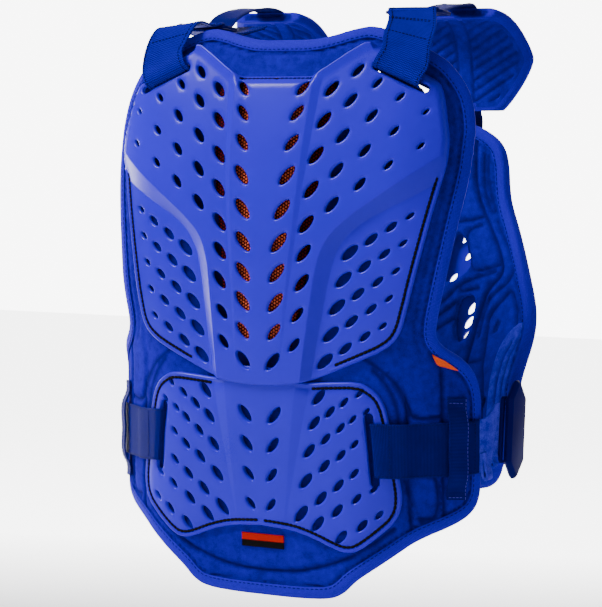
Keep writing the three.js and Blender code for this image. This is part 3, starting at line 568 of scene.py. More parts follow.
def fitting_plastic():
    f = Finish("fitting_plastic", Roughness=0.55, Specular_IOR_Level=0.03)
    grain = f.noise(1500, 3, 0.6)
    tint = f.blend(f.noise(14, 2), (0.001, 0.0, 0.06), (0.002, 0.0, 0.16))
    return f.feed(Base_Color=tint, Roughness=0.40 + 0.2 * grain,
                  Normal=f.bump(grain, 0.12, 0.0004))


def hex_mesh():
    """Red-orange spacer mesh: round cells in staggered rows, dark between. From 31 to 37 mm out
    from the middle it is painted darker, as shade.
    """
    f = Finish("hex_mesh", Roughness=0.75, Specular_IOR_Level=0.05)
    u, v = f.weave()
    turn = 2 * math.pi / 2.7
    quarter = math.pi / 2
    half, slant = u * (-0.5 * turn), v * (0.866 * turn)
    cell = f.sine(u * turn + quarter) + f.sine(half + slant + quarter) \
        + f.sine(half - slant + quarter)
    cell = f.clamp(cell + 0.5 * f.noise(500, 2), -0.5, 1.1)
    # Painted shade: from 31 to 37 mm out, the mesh turns to a darker copy of its colours
    painted_shadow_share = f.clamp(f.sum("ABSOLUTE", u), 31, 37)
    unshaded_cells = f.blend(cell, (0.06, 0.0, 0.003), (1.0, 0.17, 0.06))
    shade = f.blend(cell, (0.003, 0.0, 0.001), (0.12, 0.0, 0.004))
    return f.feed(Base_Color=f.blend(painted_shadow_share, unshaded_cells, shade), Normal=f.bump(cell, 0.8, 0.0012))


def plain_cloth(name, dark, light, roughness=0.7):
    f = Finish(name, Roughness=roughness, Specular_IOR_Level=0.15)
    grain = f.noise(1200, 4, 0.65)
    tint = f.blend(f.clamp(grain, 0.3, 0.7), dark, light)
    return f.feed(Base_Color=tint, Normal=f.bump(grain, 0.4, 0.0006))


def two_tone_label():
    """A blank woven label, red above and black below."""
    f = Finish("two_tone_label", Roughness=0.75, Specular_IOR_Level=0.05)
    u, v = f.weave()
    grain = f.noise(1500, 3, 0.6)
    edge = f.clamp(u + 0.15 * f.sine(v * 5.0), -0.4, 0.4)
    red = f.blend(grain, (0.36, 0.004, 0.002), (0.60, 0.012, 0.004))
    black = f.blend(grain, (0.001, 0.001, 0.001), (0.008, 0.005, 0.006))
    rib = f.waves(u * 9.0)
    return f.feed(Base_Color=f.blend(edge, black, red), Normal=f.bump(rib + grain, 0.35, 0.0004))


SHELL = shell_plastic()
LINER = knit("liner_knit", (0.004, 0.0, 0.20), (0.012, 0.0, 0.46))
BACK_LINER = knit("back_liner_knit", (0.004, 0.0, 0.24), (0.012, 0.0, 0.52), 0.8)
PLUSH = knit("plush_loop", (0.010, 0.005, 0.42), (0.08, 0.075, 0.85), 1.8, 0.9, 0.25)
TAPE = tape_cloth("binding_tape", (0.010, 0.0, 0.34), (0.022, 0.0, 0.66))
THREAD = plain_cloth("binding_thread", (0.001, 0.0, 0.05), (0.003, 0.0, 0.12))
PALE_THREAD = plain_cloth("pale_thread", (0.02, 0.01, 0.30), (0.10, 0.08, 0.60))
BLACK_THREAD = plain_cloth("black_thread", (0.0, 0.0, 0.001), (0.003, 0.003, 0.006), 0.9)
BELT = belt_weave("belt_weave", (0.0, 0.0, 0.07), (0.001, 0.0, 0.26), 1.3)
STRAP = belt_weave("strap_weave", (0.0, 0.0, 0.08), (0.003, 0.0, 0.50), 1.8)
HOOK = plain_cloth("hook_tape", (0.0, 0.0, 0.001), (0.012, 0.012, 0.02), 1.0)
PLASTIC = fitting_plastic()
MESH = hex_mesh()
TAB = plain_cloth("tab_cloth", (0.85, 0.06, 0.0), (1.0, 0.12, 0.01))
LABEL = two_tone_label()

# Front liner

PAD_HALF = np.array([
    (0, -547), (36, -547), (66, -545), (78, -539), (88, -528), (111, -512), (128, -500),
    (150, -484), (190, -468), (206, -458), (213, -445), (214, -425), (214, -372), (213, -353),
    (209, -339), (199, -327), (188, -320), (177, -315), (168, -308), (163, -298), (168, -269),
    (175, -232), (182, -195), (190, -154), (191.5, -125), (192, -108), (185, -80), (166, -56),
    (150, -45), (102, -23), (84, -19), (77, -20), (63, -23), (51, -27), (29, -32), (0, -32)], float)
SLOT_ENDS = ((98.9, -58.2), (144.7, -78.2))
LINER_SLOT, SHELL_SLOT, BELT_SLOT = 9.5, 7.5, 8
FRONT_GROOVES = [softened(line, 2) for line in (
    [(100, -322), (116, -332), (130, -343), (139, -359), (142.5, -378), (142.5, -440),
     (146, -480)],
    [(121.9, -336), (136, -350), (143.5, -366), (146.5, -376), (170.3, -373), (174, -371)],
    [(170, -312), (173, -330), (175, -375), (176, -430), (177, -468)],
    [(153, -426), (171, -425), (171.5, -467), (153, -467)],
    [(0, -526), (36, -525), (78, -512), (104, -497), (130, -477)],
    [(110, -333), (122, -345), (131, -362), (134, -380), (136, -420), (146, -455)])]
PIPING = softened(PAD_HALF, 2)
CHANNEL_DEPTH, CHANNEL_UNDER, BACK_CHANNEL = 2.6, 1.6, 3.4


def quilt(s, z):
    """Depth of the sewn channels of the front liner."""
    a = np.abs(s)
    depth = np.max([hump(distance(line, a, z), 0, 2.2) for line in FRONT_GROOVES], 0)
    rim = distance(PIPING, a, z)
    double = (z > -318) & (a > 120)
    depth = np.maximum(depth, 0.8 * hump(rim, 9.4, 1.3))
    return np.maximum(depth, 0.55 * double * hump(rim, 17, 1.6))


def ripples(s, z, size, seed):
    """Slow uneven swell, from -1 to 1."""
    return (np.sin(s / size + seed) * np.sin(z / (1.3 * size) + 2 * seed)
            + 0.6 * np.sin(s / (0.43 * size) + z / (0.61 * size) + 3 * seed)) / 1.6


# What the shells lie on, and where the liner below them is painted darker as shade
COVERED = np.array([(0, -60), (86, -34), (152, -62), (174, -100), (176, -160), (142, -300),
                    (140, -340), (141, -450), (100, -506), (0, -486)], float)
DEEP_SHADE = np.array([(0, -74), (46, -74), (90, -46), (150, -76), (163, -104), (163, -150),
                       (132, -288), (126, -305), (60, -334), (60, -356), (104, -358), (114, -372),
                       (126, -448), (98, -490), (0, -473)], float)


def under(polygon, s, z):
    flat = np.stack([np.abs(s), z], -1).reshape(-1, 2)
    ends = [(-5, polygon[-1, 1]), (-5, polygon[0, 1])]
    return inside(np.vstack([polygon, ends]), flat).reshape(np.shape(s))


def liner_painted_shade(s, z):
    """How dark the nap is painted: painted shade in its sewn channels and below the shells."""
    return np.maximum(quilt(s, z), 0.85 * under(DEEP_SHADE, s, z))


def pad_top(s, z):
    free = ~under(COVERED, s, z)
    swell = 1.3 * free * (0.75 + 0.35 * ripples(s, z, 17, 1.0))
    rim = np.clip(distance(PIPING, np.abs(s), z) / 22, 0, 1)
    return swell * rim - CHANNEL_DEPTH * quilt(s, z) * free - 0.1


def pad_under(s, z):
    return -PAD_THICK + CHANNEL_UNDER * quilt(s, z) + 0.4 * ripples(s, z, 23, 2.0)


def thirds(lines):
    """Lines with a point every 3 mm."""
    return [spaced(line, 3) for line in lines]


dress(panel("liner_front", PIPING, on_chest, pad_top, pad_under, 3.1,
            [lambda grow: stadium(*SLOT_ENDS, LINER_SLOT, grow)], thirds(FRONT_GROOVES),
            SOFT_RIM, RIM, liner_painted_shade, 1.0), LINER, "liner", ["front_pad"], 60)

TAPE_SECTION = [
    (-8.2, 0.25), (-7.6, 0.85), (-4, 1.05), (0, 0.95), (2.3, 0.1), (3.5, -2), (3.7, -4.5),
    (3.5, -7), (2.3, -9.1), (0, -9.9), (-4, -10), (-7.6, -9.8), (-8.2, -9.3), (-3, -9.2),
    (0.3, -8.6), (0.6, -4.5), (0.3, -0.4), (-3, 0.15)]
SEAM_INSET, SEAM_OVER = 6.4, 1.0
dress(tape("tape_front", PAD_HALF, on_chest, TAPE_SECTION), TAPE, "binding", ["front_binding"], 50)


def seam(half, put, h, step=2.0):
    loop = offset(spaced(whole(softened(half, 2)), step, True), -SEAM_INSET, True)
    return laid(np.vstack([loop, loop[:1]]), put, h)


stitches("tape_front_stitching", [seam(PAD_HALF, on_chest, SEAM_OVER)], THREAD)

# Breast shell

CHEST_POINTS = [
    (0, -352), (24, -351), (49, -346.5), (72, -337), (99, -325), (121, -314), (133, -303),
    (139, -287), (154, -218), (168.5, -155), (171.4, -140), (171.6, -122), (167, -100),
    (162, -80), (157, -70), (146, -64.5), (120, -51), (97, -38.5), (90, -36), (82, -38),
    (42, -65.5), (40, -66), (0, -66)]
CHEST_HALF = softened(CHEST_POINTS, 1)
STEP_INNER = softened([(189, -118), (162, -139), (113, -176), (82, -198), (64, -216), (56, -239),
                       (52, -269), (43, -344), (36, -420)], 2)
STEP_OUTER = softened([(206, -123), (176, -155), (126, -184), (93, -201), (77, -219), (69, -239),
                       (60, -292), (51, -346), (40, -420)], 2)
RIDGE = softened([(41, -60), (34, -180), (28, -250), (24, -308), (22, -338), (21, -360)], 1)
NECK = np.array([(41, -66), (82, -38), (90, -36)], float)
ARM_RIM = np.array([(97, -38), (146, -64.5), (157, -70), (162, -80), (167, -100), (171.6, -122),
                    (171.4, -145), (169, -157)], float)
SIDE_RIM = softened(CHEST_POINTS[9:2:-1], 1)
TOP_SEAM = np.array([(0, -66), (33, -66)], float)


PLATEAU_RISE, COLUMN_RISE, ARM_RISE = 7, 2.6, 2.4
ARM_BEVEL, NECK_BEVEL, TOP_BEVEL = 6, 8, 11
FACET_LEAST, FACET_MORE = 0.6, 7.4
BEAD_IN, GROOVE_IN = 2.0, 5.3


def bead(rim, depth):
    """The bead along a shell's edge, and the groove further in that its thread lies in."""
    return hump(rim, BEAD_IN, 1.4) - depth * hump(rim, GROOVE_IN, 1.2)


def facet(z):
    """How tall and wide the facet beside the middle column still is, from 1 down to 0."""
    return np.clip((z + 346) / 275, 0, 1)


def chest_lift(s, z):
    a = np.abs(s)
    bevel = np.clip(distance(ARM_RIM, a, z) / ARM_BEVEL, 0, 1)
    inner, outer = distance(STEP_INNER, a, z), distance(STEP_OUTER, a, z)
    past_inner = (z < STEP_INNER[0, 1]) & (a > across_at(STEP_INNER, z))
    past_outer = (z < STEP_OUTER[0, 1]) & (a > across_at(STEP_OUTER, z))
    share = np.where(past_outer, 0, np.where(past_inner, outer / (inner + outer + 1e-9), 1))
    column = 1 - np.clip((a - across_at(RIDGE, z)) / (FACET_LEAST + FACET_MORE * facet(z)), 0, 1)
    column = np.where(z > RIDGE[0, 1], 0, column) * COLUMN_RISE * facet(z)
    arms = ARM_RISE * (1 - np.clip(distance(NECK, a, z) / NECK_BEVEL, 0, 1))
    top = 0.2 + 0.8 * ease(0, TOP_BEVEL, distance(TOP_SEAM, a, z))
    lift = (PLATEAU_RISE * np.minimum(bevel, share) + np.maximum(column, arms)) * top
    side = distance(SIDE_RIM, a, z)
    lift = lift + hump(lift, 0, 3) * bead(side, 0.9)
    lift = lift - 0.7 * hump(distance(TOP_SEAM, a, z), 3.2, 1.1) * (a < 38)
    return SHELL_SEAT + np.maximum(lift, 0.0)


def chest_under(s, z):
    rim = distance(CHEST_HALF, np.abs(s), z)
    lower = ease(-330, -310, z)
    near = 1 - ease(1.2, 3.5, rim)
    lift = chest_lift(s, z)
    closing = lift * (1 - near * lower) + SHELL_SEAT * near * lower
    return np.where(lift > SHELL_SEAT + 0.5, closing, SHELL_SEAT)


VENT_ASPECT = 0.42
COLUMN_VENTS = [
    (30.7, -79, 17), (27.9, -102, 18), (25.5, -129, 19), (23.5, -159, 22), (20.5, -190, 23),
    (18.5, -220, 23), (17.5, -248, 22), (16.9, -275, 22), (16, -302, 19), (15.1, -329.3, 20)]
BREAST_VENTS = [
    (58.4, -79, 18), (54.5, -108, 19), (50.2, -140, 20), (47.9, -171, 20), (44.8, -202.5, 20.5),
    (43.4, -229, 20), (42.6, -256, 20), (39, -285.4, 17), (36.7, -313, 15.5),
    (81.6, -62, 15), (102, -73.5, 12), (124.7, -86, 10), (148, -99, 7),
    (78.5, -89.5, 16), (100.4, -103.5, 14.5), (122.7, -117, 11), (146.6, -129.6, 8),
    (74.5, -122, 17), (97.2, -135, 14.7), (120.3, -147.6, 11),
    (71.6, -153.4, 17.5), (94.9, -165.3, 14.6), (69.3, -184.2, 17.7)]
LATERAL_VENTS = [
    (s + ds, z + dz, size) for s, z in
    [(86, -227), (80.8, -251.7), (75.2, -277), (69.8, -302), (64.5, -327)]
    for ds, dz, size in [(0, 0, 20), (20, 12.7, 15.5), (38.5, 24.6, 13), (55, 35, 9)]]
BELLY_VENTS = [
    (15.2, -379, 19.5), (13.6, -407, 17.7), (12.1, -435, 15.4), (10.6, -463, 14),
    (59.2, -360, 17.7), (55, -384, 16), (50, -410, 16), (46.5, -438, 18), (41.4, -469, 19.5),
    (70.4, -373, 13.4), (66.4, -398, 13.3), (65.2, -423, 15), (61.5, -453, 16.4),
    (57.9, -477, 18), (84.2, -363.4, 11.4), (80.9, -387, 12), (81.4, -412, 12.7),
    (78.9, -440, 14.5), (77.4, -463.4, 15.4), (81.1, -487.5, 16), (98.3, -354.6, 9.3),
    (92.4, -378.4, 9.6), (94.4, -401, 10.2), (94.1, -428, 11.7), (96.2, -451, 12),
    (101, -475.4, 14), (105.2, -370.5, 8), (112, -441, 9.3), (116.5, -464.5, 10.2)]


def cuts(vents, tilt):
    return [lambda grow, s=s, z=z, size=size: leaf(
        s, z, size, VENT_ASPECT * size, tilt, grow, 16 if size < 12 else 24)
        for s, z, size in vents]


VENT_RIM = ((0, 1.5), (0.45, 0.8), (1.1, 0.28), (2.0, 0))
VENT_TILT = 50


def bead_lines(rim, turn=1):
    return [offset(rim, turn * d) for d in (BEAD_IN, GROOVE_IN)]


def shell(name, node, *form):
    """A moulded shell over its node."""
    dress(panel(name, *form, RIM, VENT_RIM), SHELL, "shell", [node], 38)


shell("shell_breast", "chest_shell", CHEST_HALF, on_chest,
      lambda s, z: chest_lift(s, z) + SHELL_THICK, chest_under, 3.2,
      cuts(COLUMN_VENTS + BREAST_VENTS, VENT_TILT) + cuts(LATERAL_VENTS, 42)
      + [lambda grow: stadium(*SLOT_ENDS, SHELL_SLOT, grow)],
      [STEP_INNER[4:-3], STEP_OUTER[4:-3], RIDGE,
       np.stack([RIDGE[:, 0] + FACET_LEAST + FACET_MORE * facet(RIDGE[:, 1]), RIDGE[:, 1]], 1),
       offset(spaced(NECK, 4), -NECK_BEVEL), *bead_lines(spaced(SIDE_RIM, 3))])

MESH_HALF = np.array([(0, -317), (30, -317), (42, -266), (46, -215), (55, -163), (62, -92),
                      (58, -70), (0, -70)], float)
dress(panel("vent_mesh", MESH_HALF, on_chest,
            lambda s, z: np.clip(chest_lift(s, z) - 0.5, 1.6, 6.2),
            lambda s, z: 1.1 + 0 * s, 4, rim=RIM[:1]),
      MESH, "vent_mesh", ["chest_mesh"])

# Belly shell

BELLY_POINTS = [
    (0, -483), (30, -485), (53, -491), (72, -499), (85, -502.5), (97, -500), (117, -484),
    (133, -468.5), (137.5, -451), (136.5, -440), (133.5, -423), (124, -371), (117, -356),
    (108, -349), (97, -344), (66, -346), (51, -347.5), (40, -347), (34, -343), (26, -336),
    (20, -335), (0, -335)]
BELLY_HALF = softened(BELLY_POINTS, 1)
KEEL_RISE = 3.0
KEEL_INNER = np.array([(37, -330), (37, -351), (25, -472), (24, -519)], float)
KEEL_OUTER = np.array([(51, -330), (51, -347), (27, -472), (25, -519)], float)
# The side and hem of the outline, without one point of the side, run on past the middle
BELLY_RIM = softened(BELLY_POINTS[17:9:-1] + BELLY_POINTS[8::-1] + [(-9, -482.7)], 1)


def belly_lift(s, z):
    a = np.abs(s)
    inner, outer = across_at(KEEL_INNER, z), across_at(KEEL_OUTER, z)
    keel = 1 - np.clip((a - inner) / (outer - inner), 0, 1)
    lift = KEEL_RISE * keel * (0.35 + 0.65 * ease(-480, -360, z))
    rim = distance(BELLY_RIM, a, z)
    low = 1 - 0.8 * keel * (z > -480)
    lift = lift + low * (bead(rim, 0.9) + 0.9 * ease(5, 12, rim))
    return SHELL_SEAT + np.maximum(lift, 0)


BELLY_SLOT = ((107, -376), (113, -435.5))
shell("shell_belly", "belly_shell", BELLY_HALF, on_chest,
      lambda s, z: np.minimum(belly_lift(s, z) + SHELL_THICK, 7.4),
      lambda s, z: SHELL_SEAT + 0 * s, 3.2,
      cuts(BELLY_VENTS, VENT_TILT) + [lambda grow: stadium(*BELLY_SLOT, BELT_SLOT, grow)],
      [KEEL_INNER[:3], KEEL_OUTER[:3], *bead_lines(spaced(BELLY_RIM, 3))])

# Heavy thread that sews the shells down

SHELL_THREAD = dict(finish=BLACK_THREAD, slot="shell", length=5.2, gap=-0.9, radius=1.45)


def sewn(line, lift, side=0):
    line = spaced(line, 2.0)
    if side:
        line = line[line[:, 0] > -0.5] * [side, 1]
    return laid(line, on_chest, lift(*line.T) + SHELL_THICK + 0.15)


thread_runs = []
for side in (1, -1):
    thread_runs.append(sewn(bead_lines(spaced(SIDE_RIM, 3))[1][1:-1], chest_lift, side))
    thread_runs.append(sewn(bead_lines(spaced(BELLY_RIM, 3))[1][4:], belly_lift, side))
thread_runs.append(sewn([(-38, -69.2), (38, -69.2)], chest_lift))
stitches("shell_stitching", thread_runs, **SHELL_THREAD)

# Back liner and shell

BACK_HALF = np.array([
    (0, -452), (41, -452), (82, -450), (119.5, -448), (150, -444.8), (165, -435), (173, -418),
    (191.6, -408.6), (204, -395.5), (206, -372), (206, -339), (203, -301), (193, -276), (181, -252),
    (165, -218), (152, -191), (141, -168), (138, -150), (137, -132), (133, -114), (122, -102),
    (103, -92), (75, -83), (41, -76), (0, -75)], float)
BACK_GROOVES = [softened(line, 2) for line in (
    [(107, -95), (107, -140), (109, -153), (114, -169), (121, -182), (129, -196), (137, -209),
     (143, -221), (147, -233), (144, -240), (135, -249), (129, -258), (126, -268), (123, -279),
     (119, -295), (114, -325), (113, -360)],
    [(117, -118), (117, -144), (119, -158), (124, -171), (128, -177), (132, -175), (125, -160),
     (121, -140), (121, -120)],
    [(134, -185), (141, -198), (151, -211), (157, -224)],
    [(137, -330), (135, -295), (134, -283), (141, -272), (151, -263), (161, -252), (168, -262),
     (176, -278), (181, -320), (182, -385)],
    [(125, -300), (127, -279), (132, -265), (141, -255), (154, -247), (161, -236), (163, -226)],
    [(118, -181), (98, -186), (40, -190)],
    [(116, -189), (99, -195), (105, -218), (112, -238), (141, -229)],
    [(138, -235), (99, -248), (98, -258), (120, -252)],
    [(40, -292), (80, -268), (96, -252)], [(40, -302), (80, -279), (95, -268)],
    [(40, -318), (80, -292), (94, -284)],
    [(137, -330), (142, -345), (146, -380), (146, -430)],
    [(20, -110), (20, -180)], [(20, -200), (20, -430)], [(60, -320), (60, -430)],
    [(100, -330), (100, -430)], [(40, -335), (100, -330), (137, -322)])]
BACK_PIPING = softened(BACK_HALF, 2)
BACK_SEAM_IN = 10.5


def back_quilt(s, z):
    a = np.abs(s)
    depth = hump(distance(BACK_GROOVES[0], a, z), 0, 2.6)
    for line in BACK_GROOVES[1:]:
        depth = np.maximum(depth, 0.8 * hump(distance(line, a, z), 0, 2.4))
    rim = distance(BACK_PIPING, a, z)
    return np.maximum(depth, 0.6 * hump(rim, BACK_SEAM_IN, 1.5))


def back_inside(s, z):
    rim = np.clip(distance(BACK_PIPING, np.abs(s), z) / 20, 0, 1)
    return BACK_CHANNEL * back_quilt(s, z) - 1.5 * rim * (0.8 + 0.3 * ripples(s, z, 15, 0.6))


def back_outside(s, z):
    rim = distance(BACK_PIPING, np.abs(s), z)
    return BACK_THICK - 1.2 * hump(rim, BACK_SEAM_IN, 1.6) + 0.3 * ripples(s, z, 21, 1.7)


WINDOWS = [[(78, -246), (82, -198), (95, -196), (103, -214), (110, -233), (88, -248)],
           [(97, -262), (113, -258), (118, -264), (113, -298), (99, -310), (93, -290)]]
SMALL_WINDOWS = [(147.4, -290, 14, 5.5, 62), (145.6, -363, 13, 6.5, 62), (30, -150, 16, 9, 50),
                 (60, -150, 16, 9, 50)]
# The back liner's sewn channels are sunk and also painted darker, as shade
dress(panel("liner_back", BACK_PIPING, on_back, back_outside, back_inside, 3.1,
            [lambda grow, w=w: blob(w, grow) for w in WINDOWS]
            + [lambda grow, w=w: leaf(*w, grow) for w in SMALL_WINDOWS],
            thirds(BACK_GROOVES), SOFT_RIM, ((0, 1.6), (0.8, 0.7), (2.0, 0)), back_quilt, 1.0),
      BACK_LINER, "liner", ["back_pad"], 60)
BACK_SECTION = [(d, h + BACK_THICK - 0.5 * (h < -5)) for d, h in TAPE_SECTION]
dress(tape("tape_back", BACK_HALF, on_back, BACK_SECTION), TAPE, "binding", ["back_binding"], 50)
inner_run, inner_up = seam(BACK_HALF, on_back, -0.85, 3.0)
stitches("tape_back_stitching", [seam(BACK_HALF, on_back, BACK_THICK + 1.05, 3.0),
                                 (inner_run, -inner_up)], THREAD)

SHELL_BACK_HALF = softened([
    (0, -432), (46, -429), (59, -425.6), (102, -412.7), (118, -387), (125, -342), (128, -290),
    (119, -206.6), (110, -142), (97, -116.4), (59, -112.6), (46, -111.6), (0, -110)], 2)
SPINE = np.array([(46, -100), (44, -200), (40, -300), (44, -440)], float)
SPINE_OUTER = SPINE + [10, 0]
SPINE_RISE = 6.0


def back_lift(s, z):
    a = np.abs(s)
    inner, outer = across_at(SPINE, z), across_at(SPINE_OUTER, z)
    spine = SPINE_RISE * (1 - np.clip((a - inner) / (outer - inner), 0, 1))
    ends = ease(-432, -416, z) * (1 - ease(-124, -110, z))
    rim = distance(SHELL_BACK_HALF, a, z)
    return BACK_THICK + SHELL_SEAT + spine * ends + (a > 50) * bead(rim, 0.8) + 0.9


BACK_VENTS = [
    (93.8, -200, 13), (99.3, -217.4, 13), (102.5, -234, 12), (84.2, -241, 12), (108.2, -272, 15),
    (105.5, -285.5, 15), (104.4, -298, 12)]
for s, size, rows in [(24, 20, range(-395, -130, 29)), (66, 17, range(-374, -130, 28)),
                      (88, 14, (-142, -168, -312, -338, -364, -388)),
                      (108, 11, (-325, -350, -374))]:
    BACK_VENTS += [(s, z, size) for z in rows]
shell("shell_back", "back_shell", SHELL_BACK_HALF, on_back,
      lambda s, z: back_lift(s, z) + SHELL_THICK,
      lambda s, z: np.minimum(back_lift(s, z),
                              BACK_THICK + SHELL_SEAT + SPINE_RISE * (np.abs(s) < 60)),
      3.4, cuts(BACK_VENTS, VENT_TILT),
      [SPINE, SPINE_OUTER, *bead_lines(SHELL_BACK_HALF[3:-3], -1)])
back_thread = []
for side in (1, -1):
    line = bead_lines(spaced(SHELL_BACK_HALF, 3), -1)[1]
    line = line[line[:, 0] > 56] * [side, 1]
    back_thread.append(laid(line, on_back, back_lift(*line.T) + SHELL_THICK + 0.2))
stitches("back_shell_stitching", back_thread, **SHELL_THREAD)

# Plush wing linings on the back liner's waist wings

WING = softened([(158, -440), (157, -361), (157, -341), (158, -323), (161, -308), (172, -293),
                 (190, -283), (196, -290), (199, -320), (200, -345), (199, -388), (180, -404),
                 (168, -430), (158, -440)], 1)[:-1]
WING_LINES = [softened([(196, -300), (185, -315), (184, -332), (184, -396)], 2),
              softened([(180, -305), (171, -320), (170, -340), (170, -410)], 2)]


def wing_seams(s, z):
    return np.maximum(*(hump(distance(line, np.abs(s), z), 0, 1.9) for line in WING_LINES))


# The plush's two seams are sunk and also painted darker along them, as shade
dress(panel("wing_plush", WING, on_back, lambda s, z: 0.3 + 0 * s,
            lambda s, z: -2.6 + 2.2 * wing_seams(s, z), 2.6, (), thirds(WING_LINES),
            ((0, 0), (0.9, 0), (2.2, 0)), tone=wing_seams, closed=True),
      PLUSH, "liner", angle=60)

# Webbing: stations are a centre and a half-width arm


def curve_through(values, at, count):
    """A smooth curve through points, at even steps of their parameter."""
    fine = np.linspace(at[0], at[-1], count)
    slope = np.gradient(values, at, axis=0)
    i = np.clip(np.searchsorted(at, fine) - 1, 0, len(at) - 2)
    gap = (at[i + 1] - at[i])[:, None]
    t = ((fine - at[i]) / gap[:, 0])[:, None]
    a, b = values[i], values[i + 1]
    m, n = slope[i] * gap, slope[i + 1] * gap
    return (2 * t**3 - 3 * t**2 + 1) * a + (t**3 - 2 * t**2 + t) * m \
        + (3 * t**2 - 2 * t**3) * b + (t**3 - t**2) * n


# Half of a strap's section: place across it and height, with a fuller edge
PROFILE = [(-1, 0.3), (-0.985, 0.85), (-0.93, 1.0), (-0.88, 0.8), (-0.45, 0.8), (0, 0.8),
           (0.45, 0.8), (0.88, 0.8), (0.93, 1.0), (0.985, 0.85), (1, 0.3)]


def webbing(name, stations, thickness, finish, nodes=(), slot="webbing", step=2.4, wave=0.25,
            along=(), rows=(), thread=THREAD):
    """A flat strap; one whose name ends in right is mirrored.

    Stitching runs along it at shares of its half width and across it in rows.
    """
    centres, arms = (np.array(part, float) for part in zip(*stations))
    gaps = np.linalg.norm(np.diff(centres, axis=0), axis=1)
    way = np.concatenate([[0], np.cumsum(np.maximum(gaps, 0.5))])
    count = max(int(way[-1] / step), 8)
    centre = curve_through(centres, way, count)
    arm = curve_through(arms, way, count)
    normal = np.cross(arm, np.gradient(centre, axis=0))
    normal /= np.linalg.norm(normal, axis=1, keepdims=True)
    length = way_along(centre)
    half = np.linalg.norm(arm, axis=1)
    rings, uv = [], []
    for u, k in PROFILE + [(u, -k) for u, k in reversed(PROFILE)]:
        lift = 0.5 * thickness * k + wave * np.sin(length / 9 + 2.2 * u) * (1 - 0.4 * abs(u))
        rings.append(centre + arm * u + normal * lift[:, None])
        uv.append(np.stack([u * half, length], 1))
    made = [swept(name, np.stack(rings, 1), False, np.stack(uv, 1).reshape(-1, 2))]
    reach = np.linspace(-0.88, 0.88, 14)[:, None]
    runs = []
    for up in (normal, -normal):
        face = up * (0.5 * thickness + 0.1)
        runs += [(centre + arm * u + face, up) for u in along]
        for i in (int(share * (count - 1)) for share in rows):
            runs.append((centre[i] + arm[i] * reach + face[i], np.repeat(up[i:i + 1], 14, 0)))
    if runs:
        made.append(stitches(f"{name}_stitching", runs, thread, slot, 2.7, 1.0, 0.42))
    if name.endswith("right"):
        for piece in made:
            flipped(piece)
    return dress(made[0], finish, slot, nodes, 50)


def flipped(made):
    """Mirrors a piece to the wearer's right."""
    made.data.transform(Matrix.Diagonal((-1, 1, 1, 1)))
    made.data.flip_normals()
    return made


def chest_station(s, z, h, slope, half):
    """A station on the front of the torso, its arm sloping across it."""
    lean = math.radians(slope)
    centre = on_chest(s, z, h)
    arm = on_chest(s + math.cos(lean), z + math.sin(lean), h) - centre
    return centre, arm * half / np.linalg.norm(arm)


def crossing(middle, slope, forward, h, half):
    """A station of a strap that goes through a slot, so far forward of it."""
    lean = math.radians(slope)
    return chest_station(middle[0] - math.sin(lean) * forward, middle[1] + math.cos(lean) * forward,
                         h, slope, half)


ON_LINER = SHELL_SEAT + 0.9
ON_SHELL = SHELL_SEAT + SHELL_THICK + ON_LINER
STRAP_HALF, REAR_HALF, BELT_HALF = 24.5, 15, 25
BUCKLE_Y, BUCKLE_X, BUCKLE_REACH, BAR = -49, 113, 13, 5
BAR_OVER = 0.9 + 0.51
# Round a buckle's bar: place along the strap and height
AROUND = [(-BAR / 2 - BAR_OVER, 0), (-BAR / 2 - 0.8 * BAR_OVER, 2.4),
          (-BAR / 2 + 0.2 * BAR_OVER, 1.5 + BAR_OVER), (BAR / 2 - 0.2 * BAR_OVER, 1.5 + BAR_OVER),
          (BAR / 2 + 0.8 * BAR_OVER, 2.4), (BAR / 2 + BAR_OVER, 0)]


def free(x, y, z, slope, half):
    """A station clear of the torso, its arm tilted from level."""
    lean = math.radians(slope)
    return np.array([x, y, z], float), half * np.array([math.cos(lean), 0, math.sin(lean)])


SHOULDER_SLOT, SHOULDER_SLOPE = (119.0, -66.8), -23.5
STRAP_FALL = 66


def shoulder_strap(side, crest):
    front = BUCKLE_Y - BUCKLE_REACH
    stations = [
        crossing(SHOULDER_SLOT, SHOULDER_SLOPE, forward, h, STRAP_HALF) for forward, h in (
            (-22, -13.5), (-8, -13.5), (-1, -12), (0, -4.5), (0, 11.2), (1.5, 14.2), (6, 15.7),
            (15, 15.2))]
    for (outboard, before, below, slope), (forth, down) in zip(
            [(13, 0.58, 0.5, -16), (8, 0.27, 0.2, -8), (2, 0.076, 0.045, -2)],
            [(0.3, 0.3), (0.9, 0), (0, 0.75)]):
        stations.append(free(BUCKLE_X + outboard, front - before * STRAP_FALL + forth * crest,
                             down * crest - below * STRAP_FALL, slope, STRAP_HALF))
    for along, above in AROUND[1 if crest else 0:]:
        stations.append(free(BUCKLE_X, front + BAR / 2 + along, crest + above, 0, STRAP_HALF))
    webbing(f"shoulder_webbing_{side}", stations, 2.2, STRAP, [f"shoulder_strap_{side}"],
            along=(-0.82, 0.9), rows=(0.3, 0.62, 0.78, 0.8), thread=BLACK_THREAD)


# The shoulder caps' middle line, as (y, z)
CAP_POINTS = [(65, 12), (84, 7), (99, -8), (109, -32), (115, -58), (118, -75)]
CAP_PATH = spaced(softened(CAP_POINTS, 2), 2)
CAP_WAY = way_along(CAP_PATH)
CAP_RUN = np.gradient(CAP_PATH, axis=0)
CAP_RUN /= np.linalg.norm(CAP_RUN, axis=1, keepdims=True)
CAP_X, CAP_THICK = 107, 8


def on_cap(s, t, h):
    """A point of the shoulder cap: across it, down along it from its top end, and out."""
    s, t, h = (np.asarray(v, float) for v in np.broadcast_arrays(s, t, h))
    y, z, ry, rz = (np.interp(-t, CAP_WAY, v) for v in (*CAP_PATH.T, *CAP_RUN.T))
    return np.stack([CAP_X + s, y - rz * h, z + ry * h], -1)


